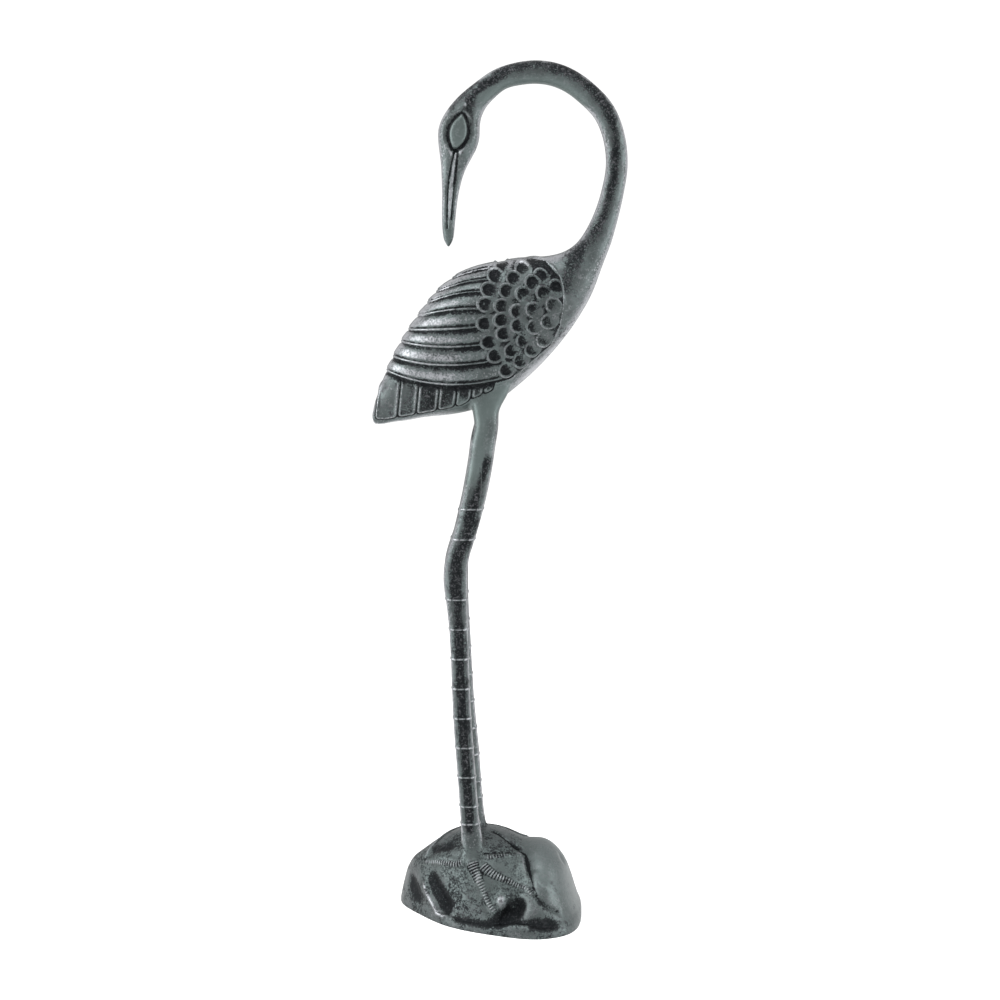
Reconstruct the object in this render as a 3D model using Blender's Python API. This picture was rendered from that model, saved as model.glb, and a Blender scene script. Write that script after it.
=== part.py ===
"""Garden crane in cast metal. The bird, its two legs and the rock they stand on are one casting.

The bird faces +X and its right side faces -Y. The rock's flat underside lies at z = 0, with the
origin at the middle of it. The bird's stations and its carving are given in thousandths of the
statue's height, and the rock's are given as shares of the base's own length, depth and height.
"""
import bmesh
import bpy
import numpy as np

# Driving sizes, in metres
STATUE_HEIGHT = 0.900
BASE_LENGTH = 0.195
BASE_DEPTH = 0.172
ROCK_HEIGHT = 0.092
RIM_HEIGHT = 0.014
RIM_ROUNDING = 0.010
RIM_LEDGE = 0.006
WALL_ROUNDING = 0.020

# One thousandth of the height, and what the skin is built from
UNIT = STATUE_HEIGHT / 1000
SKIN_CELL = 1.3 * UNIT
TRIANGLES = 9400
SINK = 12 * UNIT

# The bird from beak tip to tail tip: x, z, lean of the section in degrees, half depth, half width
CRANE_SECTIONS = (
    (-48, 790.5, 180, 0.8, 0.8),
    (-48, 798, 180, 4.9, 4.5),
    (-48, 808, 180, 6.7, 6.0),
    (-45.2, 855, 183, 10.0, 8.6),
    (-42.6, 873, 188, 13.2, 9.8),
    (-39.5, 887, 186, 17.0, 11.5),
    (-37.3, 900, 181, 20.9, 13.6),
    (-36, 915, 178, 23.4, 15.2),
    (-34.5, 928, 176, 22.5, 15.5),
    (-25.5, 947, 163, 18.1, 14.0),
    (-17, 957, 152, 15.6, 13.0),
    (-5, 967.5, 141, 13.7, 12.3),
    (9, 977.6, 126, 12.7, 12.0),
    (28, 984, 108, 12.8, 12.2),
    (49, 986.6, 90, 13.1, 12.4),
    (72, 983.8, 75, 13.2, 12.4),
    (94, 974, 60, 13.2, 12.4),
    (112, 960, 47, 13.2, 12.3),
    (127, 944, 34, 12.9, 12.2),
    (136.5, 925, 19, 12.6, 12.1),
    (142, 902, 6, 12.4, 12.0),
    (143, 879, -5, 12.4, 12.0),
    (139.8, 858, -11, 12.6, 12.2),
    (135.2, 838, -16, 13.2, 12.8),
    (128.6, 817, -19, 14.5, 14.0),
    (121.8, 800, -21, 16.4, 16.0),
    (113, 784.6, -24, 19.2, 19.0),
    (100.8, 770.3, -29, 26.0, 23.5),
    (86.5, 758.3, -36, 36.0, 29.5),
    (68.6, 745.7, -42.5, 46.8, 35.5),
    (48.7, 732.1, -47, 56.6, 40.0),
    (27.8, 718.1, -51.5, 64.8, 43.0),
    (5.8, 702.6, -54, 70.2, 44.5),
    (-15.6, 685.5, -54.5, 71.4, 44.0),
    (-35, 667.3, -53.5, 68.0, 41.5),
    (-54.5, 651, -50.5, 60.2, 37.0),
    (-72, 636.8, -47, 50.8, 31.0),
    (-88.8, 624, -43, 39.8, 24.0),
    (-103.5, 612.8, -38.5, 29.4, 18.0),
    (-115.5, 602.6, -34, 20.5, 13.0),
    (-125, 595.6, -32, 12.4, 9.0),
    (-131.5, 590.7, -38, 6.2, 5.4),
    (-134, 588, -44, 1.0, 1.5),
)
SECTION_POWER = 2.15
LEAN_WEIGHT = 20

# A leg from inside the hip to inside the rock: x, z, half depth, half width
LEG_SECTIONS = (
    (1, 646, 26.0, 10.0),
    (-3, 624, 21.0, 11.5),
    (-5.5, 605, 15.6, 12.5),
    (-5, 588, 13.9, 13.0),
    (-8, 571, 14.4, 13.4),
    (-11.3, 548, 14.4, 13.5),
    (-15.2, 525, 14.2, 13.3),
    (-19.8, 502, 13.8, 12.9),
    (-25.6, 478, 13.3, 12.4),
    (-31.8, 455, 12.8, 12.0),
    (-37.6, 437, 13.1, 12.3),
    (-40.4, 418.5, 14.0, 12.8),
    (-40.2, 396, 13.6, 12.4),
    (-39.2, 380, 12.4, 11.6),
    (-36.7, 337, 10.9, 10.4),
    (-34.8, 277, 10.6, 10.1),
    (-32.4, 229, 10.8, 10.2),
    (-28, 169, 10.8, 10.3),
    (-24.5, 120, 11.2, 10.6),
    (-22.5, 100, 12.6, 12.0),
    (-20.5, 82, 16.5, 16.5),
    (-18, 60, 24.0, 24.0),
)
LEG_POWER = 2.5
HIP_SPACING = 37.8
FOOT_SPACING = 44.4
FAR_FOOT_STEP = 5.0
HIP_LEVEL = 600
FOOT_LEVEL = 80
STEP_LEVELS = (400, 200)

# The base's outline in shares of its length and depth, and the rock's lobes: centre, radii, height
FOOTPRINT = (
    (0.500, 0.06), (0.485, -0.20), (0.41, -0.42), (0.262, -0.503), (0.045, -0.447),
    (-0.232, -0.270), (-0.400, -0.03), (-0.505, 0.24), (-0.455, 0.42), (-0.22, 0.5),
    (0.12, 0.51), (0.38, 0.44), (0.488, 0.26),
)
ROCK_LOBES = (
    ((-0.051, 0.070), (0.503, 0.488), 1.000),
    ((0.272, 0.012), (0.236, 0.488), 0.860),
    ((-0.333, 0.150), (0.300, 0.420), 0.580),
)
LOBE_POWER = 0.75
LOBE_BLEND = 0.09
LEDGE_FACING = -80

# The long feathers' lower edges from the top down, each by its z at three values of x
FEATHER_X = (-110, -50, 10)
FEATHER_EDGES = (
    (718, 756, 775),
    (712, 751, 767),
    (706, 743, 753),
    (703, 734, 738),
    (701, 717.5, 718),
    (695, 696, 703),
    (682, 676.6, 683),
    (662, 655.7, 663),
    (644, 633.3, 639.6),
)
FEATHER_HEIGHT = 2.2
FEATHER_PROFILE = (
    (0, 0.08, 0.30, 0.58, 0.69, 0.75, 0.82, 0.89, 0.94, 1),
    (0, 0.45, 0.75, 1.0, 0.92, 0.30, 0.80, 0.30, 0, 0),
)
FEATHER_TOP = 0.4
FEATHER_FRONT = 10
FEATHER_FADE = 8

# The scales lie on rings about a point at the shoulder: radius, and the angle of each scale
SHOULDER = (80, 714)
SCALE_RINGS = (
    (86, (140, 149, 160, 171, 185, 199, 210, 224)),
    (67, (130, 142, 155, 170, 183, 196, 214, 227)),
    (49, (118, 131, 150, 173, 191, 212, 228)),
    (32, (102, 128, 166, 200, 232)),
    (15, (127, 200)),
)
SCALE_HALF_LENGTH = 11.6
SCALE_HALF_WIDTH = 9.6
SCALE_HEIGHT = 2.5
SCALE_PROFILE = ((0, 0.35, 0.60, 0.77, 0.90, 1.05), (0.35, 0.12, 0.0, 0.95, 1.0, 0.0))
SCALE_EDGE = (1.04, 0.10)
SCALE_BACK = (0.30, 0.80)
SCALE_GROUND = 0.55
WING_FRONT = (
    (6, 779), (36, 779), (62, 775), (78, 758), (82, 732), (78, 704),
    (67, 681), (45, 662), (23, 644), (8, 637),
)
WING_BEAD = 1.6
WING_BEAD_WIDTH = 1.5
WING_EDGE = (2.5, 0.2)

# The tail feathers' sides where they meet the last long feather, and the line they stop at
TAIL_SIDES = (-128, -102, -81, -57, -37, -20, -7, 4)
TAIL_SLANT = 0.12
TAIL_TOP = 640
TAIL_FOOT = ((-121, -67, -33, -20, 0), (593, 603.5, 611.5, 619.5, 628))
TAIL_CORNER = 5
TAIL_FADE = 4
TAIL_HEIGHT = 1.9
TAIL_PROFILE = ((-1.5, 0, 0.9, 2.2, 3.2, 4.6, 6), (0.2, 0, 0.3, 1, 0.9, 0.3, 0.25))

# The eye, the small lobe over it and the two lines down the beak
EYE_CENTRE = (-36.3, 919.8)
EYE_HALF_LENGTH = 20
EYE_HALF_WIDTH = 8.8
EYE_TILT = 12
EYE_SOFTNESS = 1.6
EYE_HEIGHT = 2.4
EYE_BALL = (0.98, 0.75)
EYE_RING = (1.22, 0.30, -0.85)
EYE_BROW = (1.95, 0.40, 0.30)
EYE_BROW_REACH = 26
BROW_LOBE = ((-28, 950), 3.2, 1.2)
BEAK_LINES = (
    ((-40, 901), (-45.5, 878), (-49.5, 812)),
    ((-37, 897), (-38.8, 876), (-44.5, 822)),
)
BEAK_LINE_DEPTH = 1.7
BEAK_LINE_WIDTH = 1.9

# Rings and sunk panels on the legs: top ring, pitch for the near and far leg, and their places
RING_TOP = 385.9
RING_PITCHES = (35.3, 32.7)
RING_STEPS = (-3, -2, 0, 1, 2, 3, 4, 5, 6, 7, 7.6)
RING_HEIGHT = 0.9
RING_HALF_WIDTH = 1.4
RING_LIMIT = (510, 8)
PANEL_DEPTH = 0.8
PANEL_SHARE = 0.56
PANEL_EDGE = 0.16
PANEL_TOP = (560, 60)
PANEL_FACE = (0.1, 0.3)
RELIEF_FOOT = (95, 14)

# The near foot seen from above: four ribbed toes and the webs between them
TOES = (
    ((-24, -38), (-37.4, -35.5), (-48, -30), (-60, -21), (-75, -5)),
    ((-24, -34), (-19.7, -44.4), (-14.9, -51), (-9.1, -57), (-3.2, -63.3), (5, -70)),
    ((-16, -40), (-3.3, -47.8), (7.2, -51), (20, -51.5), (34, -54), (49, -67)),
    ((-14, -38), (-2, -36.5), (11, -33.1), (25, -28.1), (37.5, -25)),
)
TOE_HALF_WIDTHS = (6.0, 8.4, 7.2, 5.2)
TOE_HEIGHTS = (4.0, 5.2, 4.8, 3.6)
TOE_TAPER = 0.45
TOE_START = (3, 9)
TOE_START_SHARE = 0.4
RIB_PITCH = 3.4
RIB_SHARE = 0.34
WEB_OUTLINE = (
    (-79.6, 0), (-64, -19), (-42, -40), (-23, -53), (-5.6, -64), (0.3, -71), (8.4, -75),
    (17.7, -67.4), (24.7, -60.4), (34, -58), (48, -67), (45.8, -52.9), (40, -36.3),
    (36.7, -21.6), (18, -29), (4, -34), (-20, -36), (-37, -32), (-52, -23),
)
WEB_HEIGHT = 1.7
WEB_EDGE = 3
KNOBS = (((-14, -51), 3.2, 2.2), ((10.7, -65), 2.6, 1.4))
FAR_FOOT_BLEND = 12

# Hollows and ridges of the rock: line in shares of the base, then width and height over the rock
ROCK_STROKES = (
    (((-0.349, -0.046), (-0.321, -0.101), (-0.283, -0.163), (-0.245, -0.214), (-0.215, -0.262)),
     0.085, -0.055),
    (((-0.366, -0.036), (-0.341, -0.095), (-0.304, -0.157), (-0.236, -0.255)), 0.040, 0.040),
    (((-0.218, -0.266), (-0.095, -0.355), (0.020, -0.406), (0.103, -0.411), (0.207, -0.457)),
     0.036, -0.026),
    (((-0.005, 0.015), (0.049, -0.018), (0.104, -0.057), (0.158, -0.083)), 0.020, -0.022),
    (((0.104, -0.057), (0.158, -0.083), (0.191, -0.142), (0.207, -0.245), (0.224, -0.342),
      (0.291, -0.395), (0.386, -0.354)), 0.040, -0.024),
    (((-0.339, 0.011), (-0.263, -0.053), (-0.177, -0.091)), 0.060, -0.030),
    (((0.000, -0.405), (0.072, -0.382), (0.125, -0.353), (0.186, -0.338)), 0.085, -0.060),
    (((0.046, -0.306), (0.056, -0.347), (0.060, -0.385)), 0.070, 0.035),
    (((0.186, -0.441), (0.280, -0.464), (0.374, -0.420)), 0.060, -0.040),
    (((-0.457, 0.130), (-0.410, 0.012), (-0.354, -0.092)), 0.080, -0.024),
    (((0.236, -0.237), (0.261, -0.320), (0.323, -0.344)), 0.050, 0.016),
    (((0.402, -0.094), (0.374, 0.010)), 0.060, -0.020),
    (((-0.25, 0.36), (-0.05, 0.41), (0.14, 0.40)), 0.070, -0.030),
    (((-0.10, 0.24), (0.02, 0.30), (0.10, 0.27)), 0.060, 0.020),
    (((0.19, 0.16), (0.17, 0.30), (0.20, 0.40)), 0.040, -0.026),
)
STROKE_END = 2.0

# Where each kind of carving is cut, and where the joints are softened, in units
WING_LEVELS = (583, 786)
WING_REACH = 90
HEAD_FRONT = 0
LEG_LEVELS = (90, 575)
LEG_MIDDLE = -22
GROUND_REACH = 12
GROUND_FADE = 8
SAW_FADE = 6
HIP_JOINT = ((-6, 609), (34, 15))
ANKLE_REACH = (24, 22, 12)
JOINT_ROUND_COUNT = 45

PATINA = (0.16, 0.20, 0.19, 1.0)
PATINA_ROUGHNESS = 0.48
PATINA_METALLIC = 0.75


def clear_objects():
    for thing in list(bpy.data.objects):
        bpy.data.objects.remove(thing, do_unlink=True)


def smooth_step(value):
    """Nought below 0, one above 1, and a smooth rise between."""
    share = np.clip(value, 0, 1)
    return share * share * (3 - 2 * share)


def quarter_round(share):
    """Rises from 0 to 1 as a quarter of an ellipse does."""
    return np.sqrt(1 - (1 - np.clip(share, 0, 1)) ** 2)


def spline(points, count, closed=False):
    """Rows of numbers joined by a natural cubic over their chord length, sampled evenly."""
    rows = np.asarray(points, float)
    if closed:
        rows = np.vstack([rows[-3:], rows, rows[:4]])
    run = np.concatenate([[0], np.cumsum(np.linalg.norm(np.diff(rows, axis=0), axis=1))])
    gaps = np.diff(run)
    matrix = np.eye(len(rows))
    right = np.zeros_like(rows)
    for i in range(1, len(rows) - 1):
        matrix[i, i - 1:i + 2] = gaps[i - 1], 2 * (gaps[i - 1] + gaps[i]), gaps[i]
        right[i] = 6 * ((rows[i + 1] - rows[i]) / gaps[i] - (rows[i] - rows[i - 1]) / gaps[i - 1])
    bend = np.linalg.solve(matrix, right)
    first, last = (run[3], run[-4]) if closed else (0, run[-1])
    at = np.linspace(first, last, count, endpoint=not closed)
    i = np.clip(np.searchsorted(run, at, side="right") - 1, 0, len(gaps) - 1)
    after = ((run[i + 1] - at) / gaps[i])[:, None]
    before = ((at - run[i]) / gaps[i])[:, None]
    curve = (after ** 3 - after) * bend[i] + (before ** 3 - before) * bend[i + 1]
    return after * rows[i] + before * rows[i + 1] + curve * (gaps[i] ** 2 / 6)[:, None]


def rounded_section(count, power):
    """Cosine and sine of a superellipse, a little squarer than an ellipse above power 2."""
    turn = np.linspace(0, 2 * np.pi, count, endpoint=False)
    cosine, sine = np.cos(turn), np.sin(turn)
    return (np.sign(cosine) * np.abs(cosine) ** (2 / power),
            np.sign(sine) * np.abs(sine) ** (2 / power))


def crane_grid(rows=420, columns=96):
    """Superellipse sections carried along the bird's own line, each leaning as it is told to."""
    table = np.array(CRANE_SECTIONS, float)
    table[:, 2] = np.radians(table[:, 2]) * LEAN_WEIGHT
    x, z, lean, depth, width = (column[:, None] for column in spline(table, rows).T)
    lean = lean / LEAN_WEIGHT
    depth, width = np.maximum(depth, 0.3), np.maximum(width, 0.3)
    across, side = rounded_section(columns, SECTION_POWER)
    return np.stack([x + depth * np.cos(lean) * across,
                     width * side,
                     z + depth * np.sin(lean) * across], -1) * UNIT


def leg_centre(z, side):
    """The y of a leg's centre line and its forward step at height z, in units."""
    down = np.clip((HIP_LEVEL - z) / (HIP_LEVEL - FOOT_LEVEL), 0, 1)
    y = side * (HIP_SPACING * (1 - down) + FOOT_SPACING * down) / 2
    high, fall = STEP_LEVELS
    return y, (side > 0) * FAR_FOOT_STEP * np.clip((high - z) / fall, 0, 1)


def leg_grid(side, rows=260, columns=48):
    """Squared ellipses across a leg's centre line. The side is -1 for the near leg, 1 for the far one."""
    x, z, reach, width = (column[:, None] for column in spline(LEG_SECTIONS, rows).T)
    slope = np.gradient(np.hstack([x, z]), axis=0)
    slope /= np.linalg.norm(slope, axis=1)[:, None]
    y, step = leg_centre(z, side)
    across, out = rounded_section(columns, LEG_POWER)
    return np.stack([x + step - reach * slope[:, 1:] * across,
                     y + width * out,
                     z + reach * slope[:, :1] * across], -1) * UNIT


def footprint(count):
    """Angles about the origin and the base outline's radius at each of them."""
    outline = spline(np.array(FOOTPRINT) * (BASE_LENGTH, BASE_DEPTH), 720, closed=True)
    turn = np.unwrap(np.arctan2(outline[:, 1], outline[:, 0]))
    radius = np.hypot(outline[:, 0], outline[:, 1])
    order = slice(None, None, -1) if turn[-1] < turn[0] else slice(None)
    angles = np.linspace(0, 2 * np.pi, count, endpoint=False)
    return angles, np.interp(angles, turn[order], radius[order], period=2 * np.pi)


def rock_height(x, y):
    """Domes of the lobes and a level rim, joined by a soft maximum.

    The rim is rounded off at the outline, and the domes behind it, where a ledge is left in front.
    """
    angles, radius = footprint(360)
    turn = np.arctan2(y, x)
    inset = np.interp(turn, angles, radius, period=2 * np.pi) - np.hypot(x, y)
    ledge = RIM_LEDGE * smooth_step(np.cos(turn - np.radians(LEDGE_FACING)) / 0.7)
    rim = quarter_round(inset / RIM_ROUNDING)
    wall = quarter_round((inset - ledge) / WALL_ROUNDING)
    blend = LOBE_BLEND * ROCK_HEIGHT
    total = np.exp(RIM_HEIGHT / blend)
    for (centre_x, centre_y), (reach_x, reach_y), height in ROCK_LOBES:
        out = (((x / BASE_LENGTH - centre_x) / reach_x) ** 2
               + ((y / BASE_DEPTH - centre_y) / reach_y) ** 2)
        dome = height * ROCK_HEIGHT * np.clip(1 - out, 0, 1) ** LOBE_POWER
        total = total + np.expm1(dome * wall / blend)
    return blend * np.log(total) * rim


def rock_grid(rows=110, columns=360):
    """The rock's height over rings inside the footprint, closer together near the rim, then sunk."""
    angles, radius = footprint(columns)
    share = np.sin(np.linspace(0, np.pi / 2, rows))[:, None]
    share[0] = 0.004
    x, y = share * radius * np.cos(angles), share * radius * np.sin(angles)
    top = np.stack([x, y, rock_height(x, y)], -1)
    bottom = top[-1:] - (0, 0, SINK)
    return np.concatenate([top, bottom])


def closed_tube(builder, grid):
    """Adds a grid of rings to the bmesh as one closed skin, with a flat cap at each end."""
    rows, columns, _ = grid.shape
    rings = [[builder.verts.new(point) for point in ring] for ring in grid]
    for lower, upper in zip(rings, rings[1:]):
        for j in range(columns):
            k = (j + 1) % columns
            builder.faces.new((lower[j], lower[k], upper[k], upper[j]))
    builder.faces.new(rings[0][::-1])
    builder.faces.new(rings[-1])


def rough_mesh():
    """The bird, the legs and the rock as closed skins that run into each other."""
    builder = bmesh.new()
    for grid in (crane_grid(), leg_grid(-1), leg_grid(1), rock_grid()):
        shell = bmesh.new()
        closed_tube(shell, grid)
        bmesh.ops.recalc_face_normals(shell, faces=shell.faces)
        part = bpy.data.meshes.new("shell")
        shell.to_mesh(part)
        shell.free()
        builder.from_mesh(part)
        bpy.data.meshes.remove(part)
    mesh = bpy.data.meshes.new("rough_crane")
    builder.to_mesh(mesh)
    builder.free()
    return mesh


def with_modifier(mesh, kind, **settings):
    """The mesh as a modifier of the given kind leaves it."""
    holder = bpy.data.objects.new("holder", mesh)
    bpy.context.scene.collection.objects.link(holder)
    modifier = holder.modifiers.new("step", kind)
    for name, value in settings.items():
        setattr(modifier, name, value)
    seen = holder.evaluated_get(bpy.context.evaluated_depsgraph_get())
    result = bpy.data.meshes.new_from_object(seen)
    bpy.data.objects.remove(holder, do_unlink=True)
    return result


def mesh_points(mesh):
    points = np.empty(len(mesh.vertices) * 3, np.float32)
    mesh.vertices.foreach_get("co", points)
    return points.reshape(-1, 3).astype(float)


def set_points(mesh, points):
    mesh.vertices.foreach_set("co", points.astype(np.float32).ravel())
    mesh.update()


def soften(mesh, weight, rounds):
    """Draws each vertex toward the mean of its neighbours, as far as its weight says."""
    points = mesh_points(mesh)
    ends = np.empty(len(mesh.edges) * 2, np.int32)
    mesh.edges.foreach_get("vertices", ends)
    first, second = ends.reshape(-1, 2).T
    count = len(points)
    neighbours = np.bincount(first, minlength=count) + np.bincount(second, minlength=count)
    for _ in range(rounds):
        for axis in range(3):
            values = points[:, axis]
            total = (np.bincount(first, values[second], count)
                     + np.bincount(second, values[first], count))
            points[:, axis] = values + weight * (total / neighbours - values)
    set_points(mesh, points)


def joint_weight(points):
    """One where a leg leaves the body or enters the rock, fading to nothing around it."""
    x, y, z = (points / UNIT).T
    (hip_x, hip_z), (reach_x, reach_z) = HIP_JOINT
    hip = np.exp(-(((x - hip_x) / reach_x) ** 2 + ((z - hip_z) / reach_z) ** 2) ** 2)
    rock = rock_height(points[:, 0], points[:, 1]) / UNIT
    y_leg, step = leg_centre(z, np.sign(y))
    away = np.stack([x - LEG_MIDDLE - step, y - y_leg, z - rock], -1) / ANKLE_REACH
    return np.maximum(hip, np.exp(-(away ** 2).sum(axis=1) ** 2))


def chain_distance(points, chain):
    """Distance to a chain of straight pieces, and how far along the chain the nearest place is."""
    chain = np.asarray(chain, float)
    nearest = np.full(len(points), np.inf)
    along = np.zeros(len(points))
    run = 0
    for start, end in zip(chain, chain[1:]):
        step = end - start
        length = np.linalg.norm(step)
        share = np.clip((points - start) @ step / length ** 2, 0, 1)
        gap = np.linalg.norm(points - start - share[:, None] * step, axis=1)
        closer = gap < nearest
        nearest[closer] = gap[closer]
        along[closer] = run + share[closer] * length
        run += length
    return nearest, along


def inside(points, outline):
    """True for points within a closed outline, by counting the sides a level line crosses."""
    found = np.zeros(len(points), bool)
    x, y = points.T
    corners = list(outline)
    for (x0, y0), (x1, y1) in zip(corners, corners[1:] + corners[:1]):
        if y0 == y1:
            continue
        crossed = (y0 > y) != (y1 > y)
        found ^= crossed & (x < x0 + (y - y0) * (x1 - x0) / (y1 - y0))
    return found


def feather_share(x, z):
    """How far down its own long feather each point lies, -1 above them all, and the last edge."""
    edges = [np.polyval(np.polyfit(FEATHER_X, row, 2), x) for row in FEATHER_EDGES]
    share = np.full(x.shape, -1.0)
    for upper, lower in zip(edges, edges[1:]):
        place = (upper - z) / np.maximum(upper - lower, 1)
        here = (place >= 0) & (place < 1)
        share[here] = place[here]
    return share, edges[-1]


def scale_places(x, z):
    """For each scale, ring by ring toward the shoulder: way out along it, reach and cover."""
    edge, edge_fade = SCALE_EDGE
    for radius, angles in SCALE_RINGS:
        for angle in np.radians(angles):
            away = np.array((np.cos(angle), np.sin(angle)))
            centre = np.array(SHOULDER) + radius * away
            u = ((x - centre[0]) * away[0] + (z - centre[1]) * away[1]) / SCALE_HALF_LENGTH
            v = ((z - centre[1]) * away[0] - (x - centre[0]) * away[1]) / SCALE_HALF_WIDTH
            out = np.hypot(u, v)
            yield u, out, smooth_step((edge - out) / edge_fade)


def scales(x, z, height):
    """Lays the scales over the given height.

    A bead runs round each scale's free end and fades toward the shoulder, where the floor rises.
    """
    back_start, back_fade = SCALE_BACK
    for u, out, cover in scale_places(x, z):
        back = smooth_step((back_start - u) / back_fade)
        own = np.interp(out, *SCALE_PROFILE) * (1 - back) + SCALE_GROUND * back
        height = height * (1 - cover) + SCALE_HEIGHT * own * cover
    return height


def tail_place(x, z):
    """How far each point lies inside its tail feather's outline, over its foot, and in the row."""
    slid = x + TAIL_SLANT * (TAIL_TOP - z)
    sides = np.array(TAIL_SIDES, float)
    cell = np.clip(np.searchsorted(sides, slid) - 1, 0, len(sides) - 2)
    from_side = np.minimum(slid - sides[cell], sides[cell + 1] - slid)
    from_foot = z - np.interp(x, *TAIL_FOOT)
    corner = np.hypot(np.maximum(TAIL_CORNER - from_side, 0), np.maximum(TAIL_CORNER - from_foot, 0))
    inset = np.where(corner > 0, TAIL_CORNER - corner, np.minimum(from_side, from_foot))
    row = smooth_step((slid - sides[0]) / TAIL_FADE + 1)
    row *= smooth_step((sides[-1] - slid) / TAIL_FADE + 1)
    return inset, from_foot, row


def tail_feathers(x, z, edge):
    """Short upright feathers under the last long one: a rim round a sunk floor, a groove between."""
    inset, from_foot, row = tail_place(x, z)
    fade = row * smooth_step(from_foot / TAIL_FADE + 1.5) * smooth_step((edge - z) / WING_BEAD_WIDTH)
    return TAIL_HEIGHT * np.interp(inset, *TAIL_PROFILE) * fade


def wing_relief(x, z):
    """Feathers, scales, tail and the bead along the wing's front, from the side view alone."""
    share, edge = feather_share(x, z)
    feathers = FEATHER_HEIGHT * np.where(share < 0, FEATHER_TOP, np.interp(share, *FEATHER_PROFILE))
    front = spline(WING_FRONT, 60)
    gap, _ = chain_distance(np.stack([x, z], -1), front)
    behind = CRANE_SECTIONS[-1][0] - FEATHER_FRONT
    corners = [(behind, WING_LEVELS[0]), (behind, WING_LEVELS[1])]
    within = inside(np.stack([x, z], -1), list(map(tuple, front)) + corners)
    back = smooth_step((FEATHER_FRONT - x) / FEATHER_FADE)
    height = scales(x, z, feathers * back + SCALE_GROUND * SCALE_HEIGHT * (1 - back))
    reach, floor = WING_EDGE
    away = smooth_step(gap / reach)
    height = np.where(within & (z > edge), height * away + floor * (1 - away), 0)
    bead = WING_BEAD * np.exp(-(gap / WING_BEAD_WIDTH) ** 2)
    return np.maximum(height, bead) + tail_feathers(x, z, edge)


def eye_place(x, z):
    """Nought along the eye's middle and one at its outline, and the way along the eye."""
    tilt = np.radians(EYE_TILT)
    dx, dz = x - EYE_CENTRE[0], z - EYE_CENTRE[1]
    along = dx * np.sin(tilt) + dz * np.cos(tilt)
    across = dx * np.cos(tilt) - dz * np.sin(tilt)
    bent = np.hypot(across, EYE_SOFTNESS) - EYE_SOFTNESS
    return bent / EYE_HALF_WIDTH + (along / EYE_HALF_LENGTH) ** 2, along


def head_relief(x, z):
    """An almond eye in a sunk ring, and the lines that part the beak."""
    lid, along = eye_place(x, z)
    ball_edge, ball_height = EYE_BALL
    height = ball_height * np.clip(1 - (lid / ball_edge) ** 2, 0, 1) ** 0.5
    ring, ring_width, ring_height = EYE_RING
    height += ring_height * np.exp(-((lid - ring) / ring_width) ** 2)
    brow, brow_width, brow_height = EYE_BROW
    reach = np.exp(-(along / EYE_BROW_REACH) ** 4)
    height += brow_height * np.exp(-((lid - brow) / brow_width) ** 2) * reach
    height *= EYE_HEIGHT
    (lobe_x, lobe_z), lobe_width, lobe_height = BROW_LOBE
    height += lobe_height * np.exp(-((x - lobe_x) ** 2 + (z - lobe_z) ** 2) / lobe_width ** 2)
    for line in BEAK_LINES:
        gap, _ = chain_distance(np.stack([x, z], -1), spline(line, 24))
        height = height - BEAK_LINE_DEPTH * np.exp(-(gap / BEAK_LINE_WIDTH) ** 2)
    return height


def leg_relief(x, y, z):
    """Raised rings round a leg, and sunk panels between them on its outer face."""
    table = spline(LEG_SECTIONS, 200)[::-1]
    side = np.sign(y)
    y_leg, step = leg_centre(z, side)
    centre = np.interp(z, table[:, 1], table[:, 0]) + step
    reach = np.interp(z, table[:, 1], table[:, 2])
    pitch = np.where(side < 0, *RING_PITCHES)
    rings = np.zeros(x.shape)
    for place in RING_STEPS:
        level = RING_TOP - place * pitch
        rings = np.maximum(rings, np.exp(-((z - level) / RING_HALF_WIDTH) ** 2))
    top, fall = PANEL_TOP
    narrowing = smooth_step((top - z) / fall)
    across = np.abs(x - centre) / reach
    face, face_fade = PANEL_FACE
    outer = smooth_step(((y - y_leg) * side / reach - face) / face_fade)
    panel = smooth_step((PANEL_SHARE * narrowing - across) / PANEL_EDGE) * outer
    limit, limit_fade = RING_LIMIT
    rings *= smooth_step((limit - z) / limit_fade)
    foot, rise = RELIEF_FOOT
    return (RING_HEIGHT * rings - PANEL_DEPTH * panel) * smooth_step((z - foot) / rise)


def foot_relief(points):
    """Ribbed toes that taper from the ankle, and the raised web that joins them."""
    x, y, z = points.T
    plan = np.stack([x - FAR_FOOT_STEP * smooth_step(y / FAR_FOOT_BLEND), -np.abs(y)], -1)
    outline = list(map(tuple, spline(WEB_OUTLINE, 80, closed=True)))
    gap, _ = chain_distance(plan, outline + outline[:1])
    gap = np.where(inside(plan, outline), gap, -gap)
    web = WEB_HEIGHT * smooth_step(gap / WEB_EDGE + 0.5)
    toes = np.zeros(x.shape)
    flat = np.column_stack([plan, z])
    for toe, width, height in zip(TOES, TOE_HALF_WIDTHS, TOE_HEIGHTS):
        line = spline(toe, 24)
        lift = rock_height(line[:, 0] * UNIT, line[:, 1] * UNIT) / UNIT
        distance, along = chain_distance(flat, np.column_stack([line, lift]))
        share = along / np.linalg.norm(np.diff(line, axis=0), axis=1).sum()
        taper = 1 - TOE_TAPER * np.clip(share, 0, 1)
        body = np.clip(1 - (distance / (width * taper)) ** 2, 0, 1) ** 0.5
        start = smooth_step((along - TOE_START[0]) / TOE_START[1])
        body *= TOE_START_SHARE + (1 - TOE_START_SHARE) * start
        rib = start * (0.5 - 0.5 * np.cos(2 * np.pi * along / RIB_PITCH))
        toes = np.maximum(toes, height * taper * body * (1 - RIB_SHARE * rib))
    knobs = 0
    for centre, width, height in KNOBS:
        gap = np.hypot(plan[:, 0] - centre[0], plan[:, 1] - centre[1])
        knobs = knobs + height * np.exp(-(gap / width) ** 2)
    return np.maximum(web, toes) + knobs


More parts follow.
